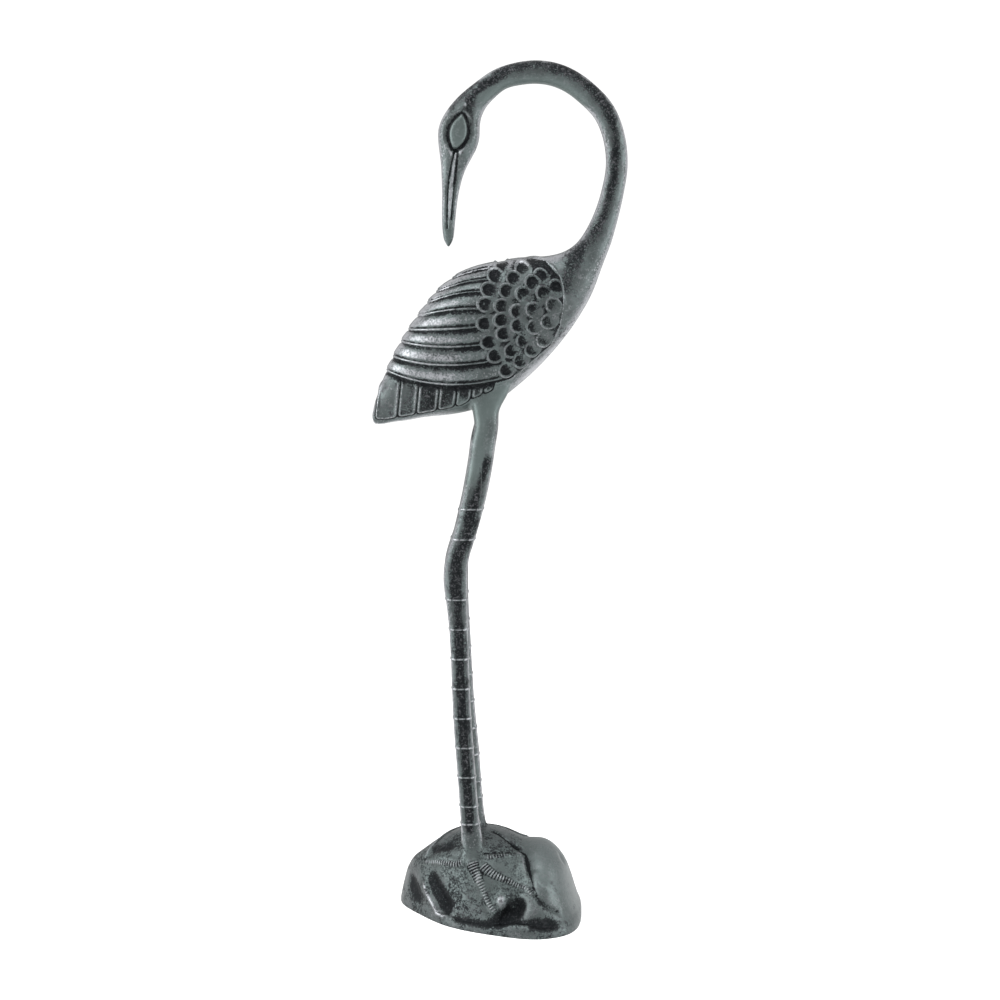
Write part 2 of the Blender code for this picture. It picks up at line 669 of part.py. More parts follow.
def rock_strokes(points):
    """Hollows and ridges of the rock, each fading away from its line and at its ends, in metres."""
    height = np.zeros(len(points))
    for line, width, lift in ROCK_STROKES:
        plan = spline(line, 24) * (BASE_LENGTH, BASE_DEPTH)
        chain = np.column_stack([plan, rock_height(*plan.T)])
        gap, along = chain_distance(points, chain)
        length = np.linalg.norm(np.diff(chain, axis=0), axis=1).sum()
        reach = width * ROCK_HEIGHT
        ends = smooth_step(np.minimum(along, length - along) / (STROKE_END * reach))
        height += lift * ends * np.exp(-(gap / reach) ** 2)
    return height * ROCK_HEIGHT


def carving(points):
    """How far the carved surface stands over the plain one, in metres."""
    x, y, z = (points / UNIT).T
    lift = np.zeros(len(points))
    body = (z > WING_LEVELS[0]) & (z < WING_LEVELS[1]) & (x < WING_REACH)
    lift[body] = wing_relief(x[body], z[body])
    head = (z > WING_LEVELS[1]) & (x < HEAD_FRONT)
    lift[head] = head_relief(x[head], z[head])
    legs = (z > LEG_LEVELS[0]) & (z < LEG_LEVELS[1])
    lift[legs] += leg_relief(x[legs], y[legs], z[legs])
    over = z - rock_height(points[:, 0], points[:, 1]) / UNIT
    low = over < GROUND_REACH
    ground = smooth_step((GROUND_REACH - over[low]) / GROUND_FADE)
    lift[low] += foot_relief(points[low] / UNIT) * ground
    lift *= UNIT
    lift[low] += rock_strokes(points[low]) * ground
    return lift * smooth_step(z / SAW_FADE)


def carve(mesh):
    """Moves every vertex along its normal by the carving's height."""
    normals = np.empty(len(mesh.vertices) * 3, np.float32)
    mesh.vertex_normals.foreach_get("vector", normals)
    points = mesh_points(mesh)
    set_points(mesh, points + normals.reshape(-1, 3) * carving(points)[:, None])


def saw_flat(mesh):
    """Cuts the underside off level at z = 0, closes it and leaves only triangles."""
    builder = bmesh.new()
    builder.from_mesh(mesh)
    everything = builder.verts[:] + builder.edges[:] + builder.faces[:]
    cut = bmesh.ops.bisect_plane(builder, geom=everything, plane_co=(0, 0, 0), plane_no=(0, 0, 1),
                                 clear_inner=True, dist=1e-5)
    rim = [item for item in cut["geom_cut"] if isinstance(item, bmesh.types.BMEdge)]
    bmesh.ops.holes_fill(builder, edges=rim, sides=0)
    bmesh.ops.triangulate(builder, faces=builder.faces)
    bmesh.ops.recalc_face_normals(builder, faces=builder.faces)
    builder.to_mesh(mesh)
    builder.free()


def patina_material():
    material = bpy.data.materials.new("patina_metal")
    material.use_nodes = True
    shader = material.node_tree.nodes["Principled BSDF"]
    shader.inputs["Base Color"].default_value = PATINA
    shader.inputs["Roughness"].default_value = PATINA_ROUGHNESS
    shader.inputs["Metallic"].default_value = PATINA_METALLIC
    return material


def crane_statue():
    """One skin over all the forms, softened at the joints, carved, thinned and sawn level."""
    mesh = with_modifier(rough_mesh(), "REMESH", mode="VOXEL", voxel_size=SKIN_CELL)
    soften(mesh, 0.5, 3)
    soften(mesh, joint_weight(mesh_points(mesh)) * 0.9, JOINT_ROUND_COUNT)
    carve(mesh)
    soften(mesh, 0.5, 1)
    mesh = with_modifier(mesh, "TRIANGULATE")
    mesh = with_modifier(mesh, "DECIMATE", ratio=TRIANGLES / len(mesh.polygons))
    saw_flat(mesh)
    mesh.name = "crane_statue"
    mesh.materials.append(patina_material())
    statue = bpy.data.objects.new("crane_statue", mesh)
    bpy.context.scene.collection.objects.link(statue)
    mesh.shade_smooth()
    mesh.set_sharp_from_angle(angle=np.radians(40))
    return statue


clear_objects()
crane_statue()
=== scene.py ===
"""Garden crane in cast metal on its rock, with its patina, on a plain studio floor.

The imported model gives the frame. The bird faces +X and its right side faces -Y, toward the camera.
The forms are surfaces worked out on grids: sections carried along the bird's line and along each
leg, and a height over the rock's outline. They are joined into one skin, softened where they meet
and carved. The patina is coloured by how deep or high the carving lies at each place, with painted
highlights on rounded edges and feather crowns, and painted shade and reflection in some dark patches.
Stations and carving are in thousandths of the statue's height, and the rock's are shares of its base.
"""

import bmesh
import bpy
import numpy as np
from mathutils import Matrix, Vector


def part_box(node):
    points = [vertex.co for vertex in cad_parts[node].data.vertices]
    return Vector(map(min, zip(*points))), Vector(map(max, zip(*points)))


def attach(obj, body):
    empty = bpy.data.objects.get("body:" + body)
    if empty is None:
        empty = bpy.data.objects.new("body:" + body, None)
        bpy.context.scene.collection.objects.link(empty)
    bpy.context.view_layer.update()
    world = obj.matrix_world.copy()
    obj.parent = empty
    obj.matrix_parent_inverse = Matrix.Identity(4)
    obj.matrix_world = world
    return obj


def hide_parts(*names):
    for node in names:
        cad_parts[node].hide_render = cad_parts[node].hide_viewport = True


bl_info = {
    "name": "Garden crane",
    "version": (1, 0, 0),
    "blender": (4, 5, 0),
    "location": "3D View > Sidebar > Crane",
    "description": "Builds a cast-metal garden crane on a rock, with its patina and a studio stage",
    "category": "Object",
}

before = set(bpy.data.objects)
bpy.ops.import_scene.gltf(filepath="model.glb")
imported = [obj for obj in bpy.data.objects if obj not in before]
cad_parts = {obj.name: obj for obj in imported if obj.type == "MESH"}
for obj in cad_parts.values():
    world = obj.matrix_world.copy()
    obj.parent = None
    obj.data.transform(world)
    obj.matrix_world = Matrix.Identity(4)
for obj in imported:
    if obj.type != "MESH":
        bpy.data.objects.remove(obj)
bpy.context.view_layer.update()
NODE = "crane_statue"

# Driving sizes, in metres
STATUE_HEIGHT = 0.900
BASE_LENGTH = 0.195
BASE_DEPTH = 0.172
ROCK_HEIGHT = 0.092
RIM_HEIGHT = 0.014
RIM_ROUNDING = 0.010
RIM_LEDGE = 0.006
WALL_ROUNDING = 0.020

# One thousandth of the height, and what the skin is built from
UNIT = STATUE_HEIGHT / 1000
SKIN_CELL = 0.8 * UNIT
TRIANGLES = 190000
SINK = 12 * UNIT
SKIN_SOFTENING = (0.5, 3)
CARVED_SOFTENING = (0.5, 1)

# The bird from beak tip to tail tip: x, z, lean of the section in degrees, half depth, half width
CRANE_SECTIONS = (
    (-48, 790.5, 180, 0.8, 0.8), (-48, 798, 180, 4.9, 4.5), (-48, 808, 180, 6.7, 6),
    (-45.2, 855, 183, 10, 8.6), (-42.6, 873, 188, 13.2, 9.8), (-39.5, 887, 186, 17, 11.5),
    (-37.3, 900, 181, 20.9, 13.6), (-36, 915, 178, 23.4, 15.2), (-34.5, 928, 176, 22.5, 15.5),
    (-25.5, 947, 163, 18.1, 14), (-17, 957, 152, 15.6, 13), (-5, 967.5, 141, 13.7, 12.3),
    (9, 977.6, 126, 12.7, 12), (28, 984, 108, 12.8, 12.2), (49, 986.6, 90, 13.1, 12.4),
    (72, 983.8, 75, 13.2, 12.4), (94, 974, 60, 13.2, 12.4), (112, 960, 47, 13.2, 12.3),
    (127, 944, 34, 12.9, 12.2), (136.5, 925, 19, 12.6, 12.1), (142, 902, 6, 12.4, 12),
    (143, 879, -5, 12.4, 12), (139.8, 858, -11, 12.6, 12.2), (135.2, 838, -16, 13.2, 12.8),
    (128.6, 817, -19, 14.5, 14), (121.8, 800, -21, 16.4, 16), (113, 784.6, -24, 19.2, 19),
    (100.8, 770.3, -29, 26, 23.5), (86.5, 758.3, -36, 36, 29.5), (68.6, 745.7, -42.5, 46.8, 35.5),
    (48.7, 732.1, -47, 56.6, 40), (27.8, 718.1, -51.5, 64.8, 43), (5.8, 702.6, -54, 70.2, 44.5),
    (-15.6, 685.5, -54.5, 71.4, 44), (-35, 667.3, -53.5, 68, 41.5), (-54.5, 651, -50.5, 60.2, 37),
    (-72, 636.8, -47, 50.8, 31), (-88.8, 624, -43, 39.8, 24), (-103.5, 612.8, -38.5, 29.4, 18),
    (-115.5, 602.6, -34, 20.5, 13), (-125, 595.6, -32, 12.4, 9), (-131.5, 590.7, -38, 6.2, 5.4),
    (-134, 588, -44, 1, 1.5),
)
SECTION_POWER = 2.15
LEAST_RADIUS = 0.3
LEAN_WEIGHT = 20

# A leg from inside the hip to inside the rock: x, z, half depth, half width
LEG_SECTIONS = (
    (1, 646, 26, 10), (-3, 624, 21, 11.5), (-5.5, 605, 15.6, 12.5), (-5, 588, 13.9, 13),
    (-8, 571, 14.4, 13.4), (-11.3, 548, 14.4, 13.5), (-15.2, 525, 14.2, 13.3), (-19.8, 502, 13.8, 12.9),
    (-25.6, 478, 13.3, 12.4), (-31.8, 455, 12.8, 12), (-37.6, 437, 13.1, 12.3),
    (-40.4, 418.5, 14, 12.8), (-40.2, 396, 13.6, 12.4), (-39.2, 380, 12.4, 11.6),
    (-36.7, 337, 10.9, 10.4), (-34.8, 277, 10.6, 10.1), (-32.4, 229, 10.8, 10.2), (-28, 169, 10.8, 10.3),
    (-24.5, 120, 11.2, 10.6), (-22.5, 100, 12.6, 12), (-20.5, 82, 16.5, 16.5), (-18, 60, 24, 24),
)
LEG_POWER = 2.5
HIP_SPACING = 37.8
FOOT_SPACING = 44.4
FAR_FOOT_STEP = 5
HIP_LEVEL = 600
FOOT_LEVEL = 80
STEP_LEVELS = (400, 200)

# The base's outline in shares of its length and depth, and the rock's lobes: centre, radii, height
FOOTPRINT = (
    (0.5, 0.06), (0.485, -0.2), (0.41, -0.42), (0.262, -0.503), (0.045, -0.447),
    (-0.232, -0.27), (-0.4, -0.03), (-0.505, 0.24), (-0.455, 0.42), (-0.22, 0.5),
    (0.12, 0.51), (0.38, 0.44), (0.488, 0.26),
)
ROCK_LOBES = (
    ((-0.051, 0.07), (0.503, 0.488), 1),
    ((0.272, 0.012), (0.236, 0.488), 0.86),
    ((-0.333, 0.15), (0.3, 0.42), 0.58),
)
LOBE_POWER = 0.75
LOBE_BLEND = 0.09
LEDGE_FACING = -80
LEDGE_SPREAD = 0.7
ROCK_MIDDLE = 0.004

# The long feathers' lower edges from the top down, each by its z at three values of x
FEATHER_X = (-110, -50, 10)
FEATHER_EDGES = (
    (718, 756, 775), (712, 751, 767), (706, 743, 753), (703, 734, 738), (701, 717.5, 718),
    (695, 696, 703), (682, 676.6, 683), (662, 655.7, 663), (644, 633.3, 639.6),
)
FEATHER_HEIGHT = 2.2
FEATHER_PROFILE = (
    (0, 0.08, 0.3, 0.58, 0.69, 0.75, 0.82, 0.89, 0.94, 1),
    (0, 0.45, 0.75, 1, 0.92, 0.3, 0.8, 0.3, 0, 0),
)
FEATHER_TOP = 0.4
FEATHER_FRONT = 10
FEATHER_FADE = 8

# The scales lie on rings about a point at the shoulder: radius, and the angle of each scale
SHOULDER = (80, 714)
SCALE_RINGS = (
    (86, (140, 149, 160, 171, 185, 199, 210, 224)),
    (67, (130, 142, 155, 170, 183, 196, 214, 227)),
    (49, (118, 131, 150, 173, 191, 212, 228)),
    (32, (102, 128, 166, 200, 232)),
    (15, (127, 200)),
)
SCALE_HALF_LENGTH = 11.6
SCALE_HALF_WIDTH = 9.6
SCALE_HEIGHT = 2.5
SCALE_PROFILE = ((0, 0.35, 0.6, 0.77, 0.9, 1.05), (0.35, 0.12, 0, 0.95, 1, 0))
SCALE_EDGE = (1.04, -0.1)
SCALE_BACK = (0.3, -0.8)
SCALE_GROUND = 0.55
WING_FRONT = (
    (6, 779), (36, 779), (62, 775), (78, 758), (82, 732), (78, 704),
    (67, 681), (45, 662), (23, 644), (8, 637),
)
WING_BEAD = 1.6
WING_BEAD_WIDTH = 1.5
WING_EDGE = (2.5, 0.2)

# The tail feathers' sides where they meet the last long feather, and the line they stop at
TAIL_SIDES = (-128, -102, -81, -57, -37, -20, -7, 4)
TAIL_SLANT = 0.12
TAIL_TOP = 640
TAIL_FOOT = ((-121, -67, -33, -20, 0), (593, 603.5, 611.5, 619.5, 628))
TAIL_CORNER = 5
TAIL_FADE = 4
TAIL_HEIGHT = 1.9
TAIL_PROFILE = ((-1.5, 0, 0.9, 2.2, 3.2, 4.6, 6), (0.2, 0, 0.3, 1, 0.9, 0.3, 0.25))

# The eye, the small lobe over it and the two lines down the beak
EYE_CENTRE = (-36.3, 919.8)
EYE_HALF_LENGTH = 20
EYE_HALF_WIDTH = 8.8
EYE_TILT = 12
EYE_SOFTNESS = 1.6
EYE_HEIGHT = 2.4
EYE_BALL = (0.98, 0.75)
EYE_RING = (1.22, 0.3, -0.85)
EYE_BROW = (1.95, 0.4, 0.3)
EYE_BROW_REACH = 26
BROW_LOBE = ((-28, 950), 3.2, 1.2)
BEAK_LINES = (
    ((-40, 901), (-45.5, 878), (-49.5, 812)),
    ((-37, 897), (-38.8, 876), (-44.5, 822)),
)
BEAK_LINE_DEPTH = 1.7
BEAK_LINE_WIDTH = 1.9

# Rings and sunk panels on the legs: top ring, pitch for the near and far leg, and their places
RING_TOP = 385.9
RING_PITCHES = (35.3, 32.7)
RING_STEPS = (-3, -2, 0, 1, 2, 3, 4, 5, 6, 7, 7.6)
RING_HEIGHT = 0.9
RING_HALF_WIDTH = 1.4
RING_LIMIT = (510, -8)
PANEL_DEPTH = 0.8
PANEL_SHARE = 0.56
PANEL_EDGE = 0.16
PANEL_TOP = (560, -60)
PANEL_FACE = (0.1, 0.3)
RELIEF_FOOT = (95, 14)

# The near foot seen from above: four ribbed toes and the webs between them
TOES = (
    ((-24, -38), (-37.4, -35.5), (-48, -30), (-60, -21), (-75, -5)),
    ((-24, -34), (-19.7, -44.4), (-14.9, -51), (-9.1, -57), (-3.2, -63.3), (5, -70)),
    ((-16, -40), (-3.3, -47.8), (7.2, -51), (20, -51.5), (34, -54), (49, -67)),
    ((-14, -38), (-2, -36.5), (11, -33.1), (25, -28.1), (37.5, -25)),
)
TOE_HALF_WIDTHS = (6, 8.4, 7.2, 5.2)
TOE_HEIGHTS = (4, 5.2, 4.8, 3.6)
TOE_TAPER = 0.45
TOE_START = (3, 9)
TOE_START_SHARE = 0.4
RIB_PITCH = 3.4
RIB_SHARE = 0.34
WEB_OUTLINE = (
    (-79.6, 0), (-64, -19), (-42, -40), (-23, -53), (-5.6, -64), (0.3, -71), (8.4, -75),
    (17.7, -67.4), (24.7, -60.4), (34, -58), (48, -67), (45.8, -52.9), (40, -36.3),
    (36.7, -21.6), (18, -29), (4, -34), (-20, -36), (-37, -32), (-52, -23),
)
WEB_HEIGHT = 1.7
WEB_EDGE = 3
KNOBS = (((-14, -51), 3.2, 2.2), ((10.7, -65), 2.6, 1.4))
FAR_FOOT_BLEND = 12

# Hollows and ridges of the rock: line in shares of the base, then width and height over the rock
ROCK_STROKES = (
    (((-0.349, -0.046), (-0.321, -0.101), (-0.283, -0.163), (-0.245, -0.214), (-0.215, -0.262)),
     0.085, -0.055),
    (((-0.366, -0.036), (-0.341, -0.095), (-0.304, -0.157), (-0.236, -0.255)), 0.04, 0.04),
    (((-0.218, -0.266), (-0.095, -0.355), (0.02, -0.406), (0.103, -0.411), (0.207, -0.457)),
     0.036, -0.026),
    (((-0.005, 0.015), (0.049, -0.018), (0.104, -0.057), (0.158, -0.083)), 0.02, -0.022),
    (((0.104, -0.057), (0.158, -0.083), (0.191, -0.142), (0.207, -0.245), (0.224, -0.342),
      (0.291, -0.395), (0.386, -0.354)), 0.04, -0.024),
    (((-0.339, 0.011), (-0.263, -0.053), (-0.177, -0.091)), 0.06, -0.03),
    (((0, -0.405), (0.072, -0.382), (0.125, -0.353), (0.186, -0.338)), 0.085, -0.06),
    (((0.046, -0.306), (0.056, -0.347), (0.06, -0.385)), 0.07, 0.035),
    (((0.186, -0.441), (0.28, -0.464), (0.374, -0.42)), 0.06, -0.04),
    (((-0.457, 0.13), (-0.41, 0.012), (-0.354, -0.092)), 0.08, -0.024),
    (((0.236, -0.237), (0.261, -0.32), (0.323, -0.344)), 0.05, 0.016),
    (((0.402, -0.094), (0.374, 0.01)), 0.06, -0.02),
    (((-0.25, 0.36), (-0.05, 0.41), (0.14, 0.4)), 0.07, -0.03),
    (((-0.1, 0.24), (0.02, 0.3), (0.1, 0.27)), 0.06, 0.02),
    (((0.19, 0.16), (0.17, 0.3), (0.2, 0.4)), 0.04, -0.026),
)
STROKE_END = 2

# Where each kind of carving is cut, places on each line, and where the joints are softened
WING_LEVELS = (583, 786)
WING_REACH = 90
HEAD_FRONT = 0
LEG_LEVELS = (90, 575)
LEG_MIDDLE = -22
GROUND_REACH = 12
GROUND_FADE = 8
SAW_FADE = 6
LINE_POINTS = 24
HIP_JOINT = ((-6, 609), (34, 15))
ANKLE_REACH = (24, 22, 12)
JOINT_ROUND_COUNT = 45
JOINT_STRENGTH = 0.9

# How far the masks' lows and highs are evened out, and how they become wash and rub. Here and
# below, a ramp is its start, its signed reach and its most, and a band its middle, width and most
FINE_EVENING = (0.5, 12)
BROAD_EVENING = (0.5, 90)
LOW_LINES = (0.06, 0.4)
LOW_FORMS = (0.25, 0.9, 0.7)
HIGH_LINES = (0.04, 0.4)
HIGH_FORMS = (0.1, 0.9, 0.6)

# Wash down a long feather, rub on its bead with a painted highlight along its crown, and how wash and rub
# change toward the wing's rear
FEATHER_WASH = (
    (0, 0.07, 0.18, 0.32, 0.55, 0.65, 0.73, 0.79, 0.83, 0.87, 0.92, 1),
    (1, 0.75, 0.3, 0, 0.05, 0.45, 0.95, 0.45, 0, 0.55, 1, 1),
)
FEATHER_RUB_AND_HIGHLIGHT = (
    (0, 0.1, 0.3, 0.45, 0.58, 0.68, 0.77, 0.82, 0.86, 0.9, 1),
    (0, 0.05, 0.45, 0.75, 0.5, 0, 0.2, 0.8, 0.3, 0, 0),
)
FEATHER_REAR = (-18, -36)
FEATHER_WASH_GAIN = (1.15, -0.35)
FEATHER_RUB_AND_HIGHLIGHT_GAIN = (0.25, 0.75)

# The scales' sunk floors, grooves, rims and raised backs, and the ground between them
GROUND_WASH = (12, 8, 0.8)
SCALE_DEEP_REAR = (44, -36)
SCALE_DEEP_TOP = (730, 20)
SCALE_WASH_LEAST = 0.72
SCALE_END = (-0.35, 0.5)
SCALE_FLOOR = (0.76, -0.12)
SCALE_FLOOR_REACH = 0.8
SCALE_GROOVE = (0.93, 0.06)
SCALE_GROOVE_WASH = 0.8
SCALE_RIM = (0.84, 0.09)
RAISED_BACK = (0.1, -0.6, 0.4)
RAISED_MIDDLE = (0.8, -0.3)
SCALE_RUB = 0.45
SCALE_MOTTLE = 0.38
WING_EDGE_RUB = (0, 1.6, 0.35)

# The tail feathers' cells, rims and grooves, and the shade under the last edge: width and most
TAIL_START = 1.5
TAIL_CELL = (2.6, 1.6)
TAIL_CELL_REAR = (-118, 60, 0.6)
TAIL_CELL_LEAST = 0.4
TAIL_GROOVE = (0, 1)
TAIL_RIM_RUB = (2.4, 0.9, 0.5)
TAIL_SHADE = (5, 0.9)

# The eye, the narrow strips seen from the front and back, the painted highlight on rounded edges of body
# and legs, rings and toes
EYE_RING_WASH = (1.28, 0.26)
EYE_CLEAN = (1.05, -0.2, 0.7)
EYE_AROUND_RUB = (1.3, 0.3, 0.7)
EYE_MIDDLE_RUB = (0.6, -0.5, 0.3)
STRIP = (0.05, 0.35)
STRIP_DULL = 0.7
STRIP_MOTTLE = 0.5
EDGE_FACING = (0.92, -0.6)
EDGE_LEVEL = 640
BODY_EDGE_HIGHLIGHT = 0.9
LEG_EDGE_HIGHLIGHT = 0.7
RING_LEVEL = 560
RING_RUB = 0.55
TOE_RUB = 0.38
LINE_SHINE = (0, 0.3, 0.85)
CLEAN_DULL = 0.8

# The rock: its smooth boulder, its hollows and ridges, and the clean place round the webs
BOULDER_CENTRE = (0.34, -0.08)
BOULDER_REACH = (0.19, 0.34)
BOULDER_RUB = 0.3
BOULDER_WASH = 0.3
BOULDER_CLEAN = 0.7
BOULDER_SMOOTH = 0.7
ROCK_MOTTLE = 0.46
ROCK_RUB = 0.24
ROCK_WASH = 0.44
HOLLOW_WASH = (0.013, 0.05)
HOLLOW_MOTTLE = (0, -0.02, 0.8)
RIDGE_RUB = (0.01, 0.026, 0.7)
WEB_AREA = (-12, 18)
WEB_SMOOTH = 0.5
WEB_CLEAN = 0.42

# Mottled dark patches and clean places in the side view: line, width and strength. The dark patches
# are patina on the head, patina with a painted reflection along the neck and legs, and painted
# shade on the breast and at the thigh's rear edge.
DARK_STROKES = (
    # Neck: mottled dark patina, with a painted reflection darkening its side
    (((-28.6, 940), (-19.6, 960), (-7, 971.5), (7.4, 982)), 6, 1),
    (((7.4, 985), (28, 992), (49, 995), (71, 993), (94, 985), (111, 972), (125.5, 956.5), (135.7, 938)),
     8.5, 1),
    (((135.7, 938), (140.3, 921), (141.6, 901), (140.3, 878.6), (135.5, 854), (130.8, 835), (121.8, 815)),
     6, 1),
    (((121.8, 815), (111.7, 800), (99.2, 785.5), (89.5, 773)), 9.5, 0.85),
    # Breast and lower body: painted shade, mottled
    (((98, 784), (90, 765), (85, 746)), 12, 0.75),
    (((100, 745), (90, 718), (74, 692), (56, 670)), 13, 0.4),
    (((-43.5, 945), (-38, 955), (-27.6, 965), (-17, 975)), 6, 0.75),
    (((-43, 903), (-40, 894), (-41, 880), (-43, 862)), 4.4, 1.2),
    (((-31.5, 903), (-37, 893)), 3.4, 1),
    (((-26.4, 957.7), (-23, 944.4), (-21.9, 928.8), (-25.3, 913.3)), 3.6, 0.85),
    # Painted shadow at the near thigh's rear edge, against the far leg
    (((-20, 598), (-20.5, 585), (-22, 574)), 3.4, 0.9),
    (((9, 600), (8.5, 585), (6, 570)), 3, 0.6),
    # Legs: mottled dark patina, with a painted reflection darkening the middle of their side
    (((-5, 549), (-10, 530), (-15.5, 512)), 6, 1.2),
    (((-15, 514), (-19.5, 497), (-24, 480)), 8, 1.2),
    (((-21, 480), (-26, 462), (-34, 444.7), (-39, 430)), 8.5, 1.2),
    (((-39, 430), (-39.8, 405), (-38, 385)), 8.5, 1.2),
    (((-38, 385), (-36, 337), (-34, 277), (-31.5, 229), (-27.5, 169), (-24.5, 112)), 7.5, 1.2),
)
CLEAN_STROKES = (
    (((-32, 606), (-10, 606), (10, 622)), 17, 1),
    (((-10, 600), (-11, 570), (-22, 526)), 8, 0.9),
    (((-8, 958), (12, 968), (30, 973), (50, 975), (70, 973), (90, 964), (104, 952)), 6.5, 1),
    (((-49, 812), (-48, 792)), 8, 0.6),
)

# Patina colours
PATINA_TONE = (0.074, 0.090, 0.090, 1.0)
PATINA_DEEP = (0.042, 0.050, 0.050, 1.0)
CLEAN_TONE = (0.080, 0.101, 0.098, 1.0)
# Near-black wash in the hollows, also the colour of the painted shadow under the last long feather
WASH_AND_SHADE_TONE = (0.007, 0.008, 0.009, 1.0)
# Silvery rub on worn highs, also the colour of the painted highlights on rounded edges and feather crowns
RUB_AND_HIGHLIGHT_TONE = (0.31, 0.315, 0.335, 1.0)
FLOOR_TONE = (0.96, 0.96, 0.96, 1.0)
FLOOR_SHADE = 0.985

# The patina's noises: turns per metre, detail and roughness of its clouds, stains, blots and grains
NOISES = ((45.0, 3.0), (110.0, 3.0, 0.6), (260.0, 3.0, 0.6), (540.0, 2.0, 0.7))

# How much of each noise goes into the ragged edges, speckle and flecks, and the middle taken off
RAGGED = (1.3, 0.9, 1.2, 2.2, 2.80)
SPECKLE = (0.5, 1.5, 1.0)
FLECK = (0.4, 0.6)

# Where wash, patches, clouds, bright metal and flecks begin and are full, and how far they go
LOW_RAGGED = 0.8
LOW_STEP = (0.28, 0.78)
PATCH_STEP = (0.30, 0.84, 0.96)
CLOUD_STEP = (0.35, 0.65)
CLEAN_CALM = 0.9
CLEAN_SHARE = 0.8
BRIGHT_STEP = (0.12, 0.92, 0.80)
FLECK_STEP = (0.50, 0.64)
FLECK_MOST = 0.24
FLECK_LOSS = 0.18

# Metal and roughness of the plain patina, then what the noises and tones add or take
METAL = (0.80, 0.18)
ROUGHNESS = (0.46, 0.22, 0.12, 0.16)
BUMP = (0.35, 0.0006, 0.5, 0.8)

# The stage: floor, soft lights (name, place, aim, width, height, power) and the camera
FLOOR_SIZE = 12.0
LIGHTS = (
    ("left_softbox", (-1.8, -0.5, 0.9), (0.0, 0.0, 0.5), 0.9, 2.0, 46.0),
    ("right_softbox", (1.8, -0.5, 0.9), (0.0, 0.0, 0.5), 0.9, 2.0, 32.0),
    ("top_softbox", (-0.3, -0.7, 2.4), (0.0, 0.0, 0.5), 1.6, 1.0, 34.0),
)
WORLD_STRENGTH = 1.08
CAMERA_PLACE = (0.00967, -2.434, 0.8392)
CAMERA_TILT = 9.125


def smooth_step(value):
    """Nought below 0, one above 1, and a smooth rise between."""
    share = np.clip(value, 0, 1)
    return share * share * (3 - 2 * share)


def ramp(value, start, reach, most=1):
    """Nought at the start, the most a signed reach further on, and a smooth rise between."""
    return most * smooth_step((value - start) / reach)


def band(value, middle, width, most=1):
    """The most at the middle, fading to both sides over the width."""
    return most * np.exp(-((value - middle) / width) ** 2)


def quarter_round(share):
    """Rises from 0 to 1 as a quarter of an ellipse does."""
    return np.sqrt(1 - (1 - np.clip(share, 0, 1)) ** 2)


def steps(rows):
    """Lengths of the straight pieces from row to row."""
    return np.linalg.norm(np.diff(rows, axis=0), axis=1)


def spline(points, count, closed=False):
    """Rows of numbers joined by a natural cubic over their chord length, sampled evenly."""
    rows = np.asarray(points, float)
    if closed:
        rows = np.vstack([rows[-3:], rows, rows[:4]])
    run = np.concatenate([[0], np.cumsum(steps(rows))])
    gaps = np.diff(run)
    matrix = np.eye(len(rows))
    right = np.zeros_like(rows)
    for i in range(1, len(rows) - 1):
        matrix[i, i - 1:i + 2] = gaps[i - 1], 2 * (gaps[i - 1] + gaps[i]), gaps[i]
        right[i] = 6 * ((rows[i + 1] - rows[i]) / gaps[i] - (rows[i] - rows[i - 1]) / gaps[i - 1])
    bend = np.linalg.solve(matrix, right)
    first, last = (run[3], run[-4]) if closed else (0, run[-1])
    at = np.linspace(first, last, count, endpoint=not closed)
    i = np.clip(np.searchsorted(run, at, side="right") - 1, 0, len(gaps) - 1)
    after = ((run[i + 1] - at) / gaps[i])[:, None]
    before = ((at - run[i]) / gaps[i])[:, None]
    curve = (after ** 3 - after) * bend[i] + (before ** 3 - before) * bend[i + 1]
    return after * rows[i] + before * rows[i + 1] + curve * (gaps[i] ** 2 / 6)[:, None]


def rounded_section(count, power):
    """Cosine and sine of a superellipse, a little squarer than an ellipse above power 2."""
    turn = np.linspace(0, 2 * np.pi, count, endpoint=False)
    cosine, sine = np.cos(turn), np.sin(turn)
    return (np.sign(cosine) * np.abs(cosine) ** (2 / power),
            np.sign(sine) * np.abs(sine) ** (2 / power))


def crane_grid(rows=420, columns=96):
    """Superellipse sections carried along the bird's own line, each leaning as it is told to."""
    table = np.array(CRANE_SECTIONS, float)
    table[:, 2] = np.radians(table[:, 2]) * LEAN_WEIGHT
    x, z, lean, depth, width = (column[:, None] for column in spline(table, rows).T)
    lean = lean / LEAN_WEIGHT
    depth, width = np.maximum(depth, LEAST_RADIUS), np.maximum(width, LEAST_RADIUS)
    across, side = rounded_section(columns, SECTION_POWER)
    return np.stack([x + depth * np.cos(lean) * across,
                     width * side,
                     z + depth * np.sin(lean) * across], -1) * UNIT


def leg_centre(z, side):
    """The y of a leg's centre line and its forward step at height z, in units."""
    down = np.clip((HIP_LEVEL - z) / (HIP_LEVEL - FOOT_LEVEL), 0, 1)
    y = side * (HIP_SPACING * (1 - down) + FOOT_SPACING * down) / 2
    high, fall = STEP_LEVELS
    return y, (side > 0) * FAR_FOOT_STEP * np.clip((high - z) / fall, 0, 1)


def leg_grid(side, rows=260, columns=48):
    """Squared ellipses across a leg's centre line. The side is -1 for the near leg, 1 for the far one."""
    x, z, reach, width = (column[:, None] for column in spline(LEG_SECTIONS, rows).T)
    slope = np.gradient(np.hstack([x, z]), axis=0)
    slope /= np.linalg.norm(slope, axis=1)[:, None]
    y, step = leg_centre(z, side)
    across, out = rounded_section(columns, LEG_POWER)
    return np.stack([x + step - reach * slope[:, 1:] * across,
                     y + width * out,
                     z + reach * slope[:, :1] * across], -1) * UNIT


